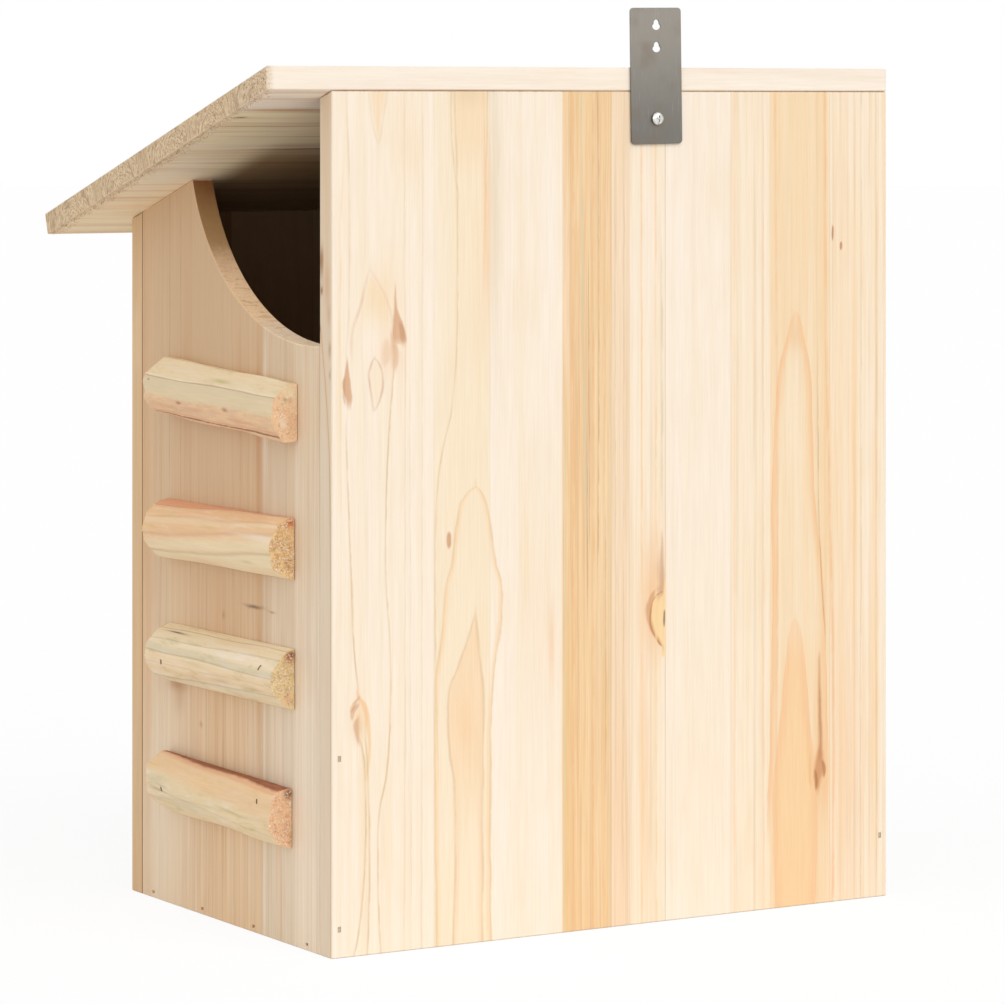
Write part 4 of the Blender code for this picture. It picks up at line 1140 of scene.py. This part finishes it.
# bands, lines and spots lie at shares of the way around the stick, from its rear end to its front end
rungWoods = {
    "rung_1": {
        "tone": "rungCream", "heart": (0, 6, 0), "spacing": 1.7, "lines": 0.1, "mottle": 0.3,
        "end": ("endPeach", "knotTan", "milk", 0.6),
        "bark": ("barkFlesh", "rungPeach", "barkPink", 0.8),
        # rung 1's rungShade band: painted shade on the facet under the ridge
        "bands": [("rungShade", 0.8, .45, .43, .672, .648, .01), ("greyCream", 0.3, .60, .52, .66, .64, .02)],
        # the first three lines: painted shade in the crease under the ridge and a painted highlight on the ridge; the
        # bark-dark line: painted shadow along the lower edge, partly bark remains
        "edgeLines": [(.670, .645, .018, "crease", 0.5), (.668, .643, .006, "endDark", 0.4),
                      (.686, .663, .010, "milk", 0.6), (.39, .35, .012, "bark", 0.6),
                      (.215, .185, .020, "barkDark", 0.9), (.25, .22, .03, "salmon", 0.5),
                      (.93, .92, .012, "endDark", 0.35)],
        "spots": [(0.72, 0.40, 2.2, 0.018, "barkDark", 0.7), (0.36, 0.42, 2.6, 0.018, "barkDark", 0.6),
                  (0.45, 0.74, 9.0, 0.03, "smear", 0.75), (0.96, 0.60, 0.7, 0.010, "barkDark", 0.9),
                  (0.62, 0.34, 8.0, 0.03, "barkPink", 0.5), (0.25, 0.33, 14.0, 0.03, "salmon", 0.5),
                  (0.85, 0.34, 9.0, 0.03, "salmon", 0.35)],
        "endSpots": [(3, 21, 4.2, "rungCream", 0.9), (6.0, 18.2, 1.1, "olive", 0.6), (3.5, 17.6, 1.1, "knotTan", 0.7),
                     (7, 8, 2.4, "milk", 0.5), (2.5, 9, 3.0, "barkPink", 0.35)],
    },
    "rung_2": {
        "tone": "rungPeach", "heart": (0, 6, 0), "spacing": 1.9, "lines": 0.12, "mottle": 0.25,
        "end": ("endGold", "knotRust", "milk", 0.9),
        "bark": None,
        "bands": [("rungCream", 0.85, .0, .0, .42, .25, .02), ("rungCream", 0.75, .43, .26, .60, .42, .05),
                  ("rungCream", 0.4, .70, .60, .76, .69, .02), ("barkPink", 0.45, .925, .845, 1.1, 1.1, .02),
                  ("salmon", 0.75, .96, .885, 1.1, 1.1, .012)],
        # the two knot-tan lines and the crease line: painted shade in the creases
        "edgeLines": [(.758, .693, .028, "knotTan", 0.5), (.648, .478, .034, "knotTan", 0.5),
                      (.412, .242, .030, "crease", 0.35), (.97, .88, .010, "barkRed", 0.5)],
        "spots": [(0.1, 0.60, 20.0, 0.03, "milk", 0.6), (0.75, 0.58, 30.0, 0.06, "bark", 0.25),
                  (0.2, 0.30, 6.0, 0.02, "smear", 0.5)],
        "endSpots": [(2.2, 25.4, 2.4, "fireRed", 0.95), (9, 22, 2.2, "endPeach", 0.4)],
    },
    "rung_3": {
        "tone": "rungCream", "heart": (2, 6, 0), "spacing": 1.6, "lines": 0.12, "mottle": 0.6,
        "end": ("gold", "olive", "milk", 0.8),
        "bark": None,
        "bands": [("greyCream", 0.6, .545, .585, .64, .66, .03), ("peach", 0.35, .33, .27, .52, .54, .04),
                  ("greyCream", 0.4, .24, .16, .31, .24, .03), ("milk", 0.3, .66, .68, .77, .71, .03),
                  ("rungShade", 0.5, .77, .73, 1.1, 1.1, .02)],
        # the crease lines, and the thin dark line in the second crease: painted shade in the creases
        "edgeLines": [(.775, .715, .016, "crease", 0.45), (.54, .58, .028, "crease", 0.4),
                      (.54, .58, .008, "endDark", 0.25), (.295, .225, .022, "crease", 0.4),
                      (.44, .42, .012, "crease", 0.2), (.92, .88, .014, "endDark", 0.4)],
        "spots": [(0.84, 0.83, 9.0, 0.014, "darkBrown", 0.95), (0.4, 0.36, 8.0, 0.03, "olive", 0.3),
                  (0.15, 0.36, 10.0, 0.03, "olive", 0.3), (0.6, 0.5, 12.0, 0.03, "smear", 0.35)],
        "endSpots": [(2.4, 23.6, 2.8, "knotRust", 0.9), (1.4, 24.6, 1.5, "barkDark", 0.8), (3.5, 5, 3.2, "peach", 0.7)],
    },
    "rung_4": {
        "tone": "rungPale", "heart": (-2, 6, 0), "spacing": 1.8, "lines": 0.12, "mottle": 0.5,
        "end": ("endSalmon", "salmon", "milk", 0.9),
        "bark": ("barkDark", "barkRed", "darkBrown", 0.95),
        "bands": [("rungPeach", 0.6, .46, .66, .83, .85, .06), ("salmon", 0.5, .775, .82, .86, .89, .02)],
        # the crease line: painted shade in a crease
        "edgeLines": [(.50, .30, .024, "greyTan", 0.4), (.30, .42, .012, "crease", 0.3)],
        "spots": [(0.93, 0.50, 12.0, 0.08, "greyCream", 0.6), (0.9, 0.40, 7.0, 0.012, "olive", 0.5),
                  (0.86, 0.46, 5.0, 0.010, "olive", 0.4), (0.55, 0.62, 20.0, 0.08, "flameFill", 0.6),
                  (0.7, 0.3, 26.0, 0.08, "greyCream", 0.5), (0.3, 0.45, 12.0, 0.012, "smear", 0.7)],
        "endSpots": [(1.6, 24.2, 2.2, "barkDark", 0.95), (2.5, 3, 3.0, "peach", 0.5)],
    },
}


def finishRung(name):
    shape, look = rungs[name], rungWoods[name]
    middle = shape["foot"] + shape["height"] / 2
    board = {
        "axes": (((0, 0, 1), -middle), ((0, 1, 0), 0), ((1, 0, 0), -148.0)),
        "stretch": 18, "sway": 1.6, "streaks": 0.2, "clouds": 0.2, "endAmount": 0.0, "relief": 0.6,
        "staves": [stave(-50, look["tone"], look["heart"], look["spacing"], 0.0, look["lines"])],
    }

    def skin(grain):
        across, along, through = grain["parts"]
        around, bark, cap = [attribute(grain, label) for label in ("around", "bark", "cap")]
        share = (backFace - shape["rearInset"] - along) * (1 / shape["length"])  # 0 at the rear end, 1 at the front end
        wander = around + (grain["streak"] - 0.5) * 0.03 + (grain["fibre"] - 0.5) * 0.01 + grain["wobble"] * 0.02
        mottle = sizedNoise(grain["parts"], (0.22, 0.05, 0.22), 4.0, 0.65)
        paint(grain, "smear", mottle.rise(0.52, 0.68) * look["mottle"])
        paint(grain, "milk", mottle.fall(0.34, 0.46) * look["mottle"])
        if look["bark"]:
            base, flake, pit, amount = look["bark"]
            flakes = sizedNoise(grain["parts"], (0.4, 0.09, 0.4), 4.0, 0.65)
            skinTone = (flakes.rise(0.42, 0.62).between(tone(base), tone(flake))
                        .toward(tone(pit), flakes.fall(0.3, 0.38) * 0.5))
            grain["colour"] = grain["colour"].toward(skinTone, bark * amount)
        for toneName, amount, lowRear, lowFront, highRear, highFront, blur in look["bands"]:
            above = (wander - (share * (lowFront - lowRear) + lowRear)).rise(-blur, blur)
            below = (wander - (share * (highFront - highRear) + highRear)).fall(-blur, blur)
            paint(grain, toneName, above * below * amount)
        # lines along the stick: painted shade in its creases, a painted highlight on rung 1's ridge and a painted
        # shadow along rung 1's lower edge, beside lines of the wood's own colour
        for rearAt, frontAt, width, toneName, amount in look["edgeLines"]:
            drift = share.maths("MULTIPLY_ADD", math.tau * 1.3, math.tau * rearAt * 3).maths("SINE") * 0.006
            away = abs(wander - share * (frontAt - rearAt) - rearAt - drift)
            paint(grain, toneName, away.fall(0.0, width) * grain["streak"].rise(0.2, 0.55, 0.35, 1.0) * amount)
        for alongShare, aroundShare, halfLength, halfAround, toneName, amount in look["spots"]:
            size = (halfLength / shape["length"], halfAround)
            paint(grain, toneName, spot(*fromPoint(share, around, (alongShare, aroundShare), size)) * amount)
        # painted shade: the colour is darkened at each brad's hole
        if shape["outside"]:  # the dark holes of the brads
            for end in ("front", "rear"):
                low, high = boxInMm(name + "_nail_" + end)
                half = (high.y - low.y) / 2
                nearY = abs(along - (low.y + high.y) / 2).fall(half, half + 0.3)
                nearZ = abs(across + middle - (low.z + high.z) / 2).fall(0.8, 1.3)
                paint(grain, "darkBrown", nearY * nearZ * 0.85)
        base, dark, light, amount = look["end"]
        cut, pores = endSpeckle(join(across, along, through), grain["colour"].toward(tone(base), 0.92),
                                dark, light, amount)
        for out, up, half, toneName, amount in look["endSpots"]:
            mark = spot(*fromPoint(through - 0.3, across + middle - shape["foot"], (out, up), (half, half)))
            cut = cut.toward(tone(toneName), mark * amount)
        fromEnds = abs(share - 0.5).rise(0.5 - 0.9 / shape["length"], 0.5 - 0.2 / shape["length"])
        grain["colour"] = grain["colour"].toward(tornTones(grain, cut), fromEnds.maths("MAXIMUM", cap))

    return finishWood(name + "_wood", board, skin)


for number, name in enumerate(rungs):
    buildRung(name, number, finishRung(name))
print("rungs split and nailed")

# where the saw left the roof's end: a dense fringe on its lower corner, thinning out on the underside
roofFringes = [
    {"from": 176.6, "to": 178.3, "density": 1.7e6, "length": 1.2, "thickness": 0.3, "splay": 1.0, "seed": 2},
    {"from": 173.0, "to": 176.6, "density": 0.5e6, "length": 0.9, "thickness": 0.28, "splay": 1.6, "seed": 4},
]
fringePlace = {"run": (-3.0, -232.0), "below": 9.9}  # from the roof's rear edge to its front one, under its upper face


def roofPoint(x, down):
    underside = [rear + down * d - fringePlace["below"] * u for rear, d, u in zip(roofRear, roofDown, roofUp)]
    return tuple(c / perMetre for c in (x, *underside[1:]))


for number, fringe in enumerate(roofFringes):
    corners = [roofPoint(x, down) for x in (fringe["to"], fringe["from"]) for down in fringePlace["run"]]
    addFibres("roof_torn_end_" + str(number + 1), corners, [(0, 1, 3, 2)], fringe,
              bpy.data.materials["roof_wood"], "roof_board")
print("sawn ends torn")

# metal: the punched plate, its screw and the brads
plateFinish = {"high": (0.30, 0.275, 0.24, 1.0), "low": (0.185, 0.175, 0.155, 1.0), "stain": (0.2, 0.15, 0.1, 1.0),
               "rubbed": (0.55, 0.53, 0.5, 1.0), "roughness": 0.38, "metallic": 0.9}
smallSteel = {  # bright tone, dull tone, metallic, spots per millimetre, roughness
    "screw_metal": ((0.82, 0.81, 0.78, 1), (0.5, 0.48, 0.44, 1), 1.0, 0.9, 0.22),
    "brad_metal": ((0.30, 0.24, 0.17, 1), (0.16, 0.11, 0.07, 1), 0.3, 2.4, 0.6),
    "brad_metal_filled": ((0.62, 0.5, 0.36, 1), (0.4, 0.3, 0.2, 1), 0.0, 2.4, 0.7),
}


def finishPlate():
    material, place, facing = startMaterial("plate_metal")
    x, y, z = split(place)
    fine = join(x * 1000, y * 1000, z * 60).noise(1.6, 3.0, 0.6)
    cloud = place.scaled(perMetre).noise(0.07, 2.0)
    colour = ((z * perMetre).rise(350.0, 412.0).between(plateFinish["low"], plateFinish["high"])
              .toward(plateFinish["stain"], cloud.rise(0.5, 0.72) * 0.35)
              .toward(plateFinish["rubbed"], fine.rise(0.56, 0.8) * 0.25))
    roughness = plateFinish["roughness"] + cloud * 0.16 + fine * 0.08
    feedShader(material, colour, roughness, fine + cloud * 0.6, 0.00012, 0.35, plateFinish["metallic"])
    return material


def finishSmallSteel(name):
    bright, dull, metallic, scale, roughness = smallSteel[name]
    material, place, facing = startMaterial(name)
    grainy = place.scaled(perMetre).noise(scale, 3.0, 0.6)
    colour = grainy.rise(0.4, 0.7).between(bright, dull)
    feedShader(material, colour, roughness + grainy * 0.2, grainy, 0.00005, 0.4, metallic)
    return material


clothe("hanger_plate", finishPlate())
clothe("hanger_screw", finishSmallSteel("screw_metal"))
bradMetal = finishSmallSteel("brad_metal")
bradPale = finishSmallSteel("brad_metal_filled")


def fillBrad(name):
    # the brads of the back are filled almost flush, and only a faint mark shows
    low, high = boxInMm(name)
    work = bmesh.new()
    addBlock(work, Vector((low.x - 0.1, low.y, low.z - 0.1)), Vector((high.x + 0.1, backFace - 0.12, high.z + 0.1)))
    mesh = meshFrom(work, name + "_filled")
    mesh.materials.append(bradPale)
    piece = addPiece(name + "_filled", mesh)
    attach(piece, "box")
    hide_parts(name)


for name in list(nodes):
    if "_nail_" in name:
        clothe(name, bradPale if name.startswith("back") else bradMetal)
    if name.startswith("back_nail_"):
        fillBrad(name)
print("metal finished")

# stage, light and camera
stageSizes = {"radius": 60.0, "drop": 0.0001, "world": 0.5, "floorTone": (0.9, 0.9, 0.9, 1.0), "whiteShare": 0.85,
              "floorGlow": 1.03}
suns = {
    "key_sun": {"strength": 1.30, "angle": 55, "from": (-0.12, 0.80, 0.60)},
    "fill_sun": {"strength": 0.66, "angle": 70, "from": (0.80, 0.15, 0.56)},
    # the bounce between roof and wall that brightens the sawn edge of the entrance
    "entrance_bounce": {"strength": 1.2, "angle": 20, "from": (0.0, 0.0, 1.0), "only": "entrance_side_panel"},
}
cameraSizes = {"place": (1.063, 1.759, 0.370), "turn": 180 - 31.07, "focal": 4377 / 1004, "drop": 397.1 / 1004}


def seenDirectly(tree):  # by the camera, in a reflection or through a clear body
    rays = tree.nodes.new("ShaderNodeLightPath")
    camera, glossy, clear = [Signal(tree, rays.outputs["Is " + kind + " Ray"])
                             for kind in ("Camera", "Glossy", "Transmission")]
    return camera.maths("MAXIMUM", glossy).maths("MAXIMUM", clear)


def setFloor():
    work = bmesh.new()
    bmesh.ops.create_circle(work, cap_ends=True, radius=stageSizes["radius"], segments=96)
    bmesh.ops.translate(work, verts=work.verts, vec=(0, 0, -stageSizes["drop"]))
    floor = addPiece("stage_floor", meshFrom(work, "stage_floor"))
    material = bpy.data.materials.new("stage_white")
    material.use_nodes = True
    tree = material.node_tree
    shader = tree.nodes["Principled BSDF"]
    for label, value in (("Base Color", stageSizes["floorTone"]), ("Roughness", 0.9), ("Specular IOR Level", 0.0)):
        shader.inputs[label].default_value = value
    seen = seenDirectly(tree)
    glow = seen.node("ShaderNodeEmission", {}, {"Color": (1, 1, 1, 1), "Strength": stageSizes["floorGlow"]})
    both = seen.node("ShaderNodeMixShader", {},
                     {0: seen * stageSizes["whiteShare"], 1: Signal(tree, shader.outputs[0]), 2: glow})
    tree.links.new(both.socket, tree.nodes["Material Output"].inputs["Surface"])
    floor.data.materials.append(material)
    return floor


def setWorld():
    world = bpy.data.worlds.new("studio")
    scene.world = world
    world.use_nodes = True
    background = world.node_tree.nodes["Background"]
    strength = seenDirectly(world.node_tree) * (1.0 - stageSizes["world"]) + stageSizes["world"]
    background.inputs["Color"].default_value = (1, 1, 1, 1)
    world.node_tree.links.new(strength.socket, background.inputs["Strength"])


def holdIn(name, piece):
    collection = bpy.data.collections.new(name)
    collection.objects.link(piece)
    return collection


def setSuns(floor):
    for name, light in suns.items():
        data = bpy.data.lights.new(name, "SUN")
        data.energy = light["strength"]
        data.angle = math.radians(light["angle"])
        sun = addPiece(name, data)
        sun.rotation_euler = Vector(light["from"]).to_track_quat("Z", "Y").to_euler()
        if "only" in light:  # it lights one board, and nothing but the floor shades it
            sun.light_linking.receiver_collection = holdIn(name + "_lit", nodes[light["only"]])
            sun.light_linking.blocker_collection = holdIn(name + "_shade", floor)


def setCamera():
    data = bpy.data.cameras.new("camera")
    data.sensor_width = 36
    data.lens = cameraSizes["focal"] * data.sensor_width
    data.shift_y = -cameraSizes["drop"]
    data.clip_end = 20
    camera = addPiece("camera", data)
    camera.location = cameraSizes["place"]
    camera.rotation_euler = Euler((math.radians(90), 0, math.radians(cameraSizes["turn"])))
    scene.camera = camera


setSuns(setFloor())
setWorld()
setCamera()
scene.view_settings.view_transform = "Standard"
print("stage, light and camera set")
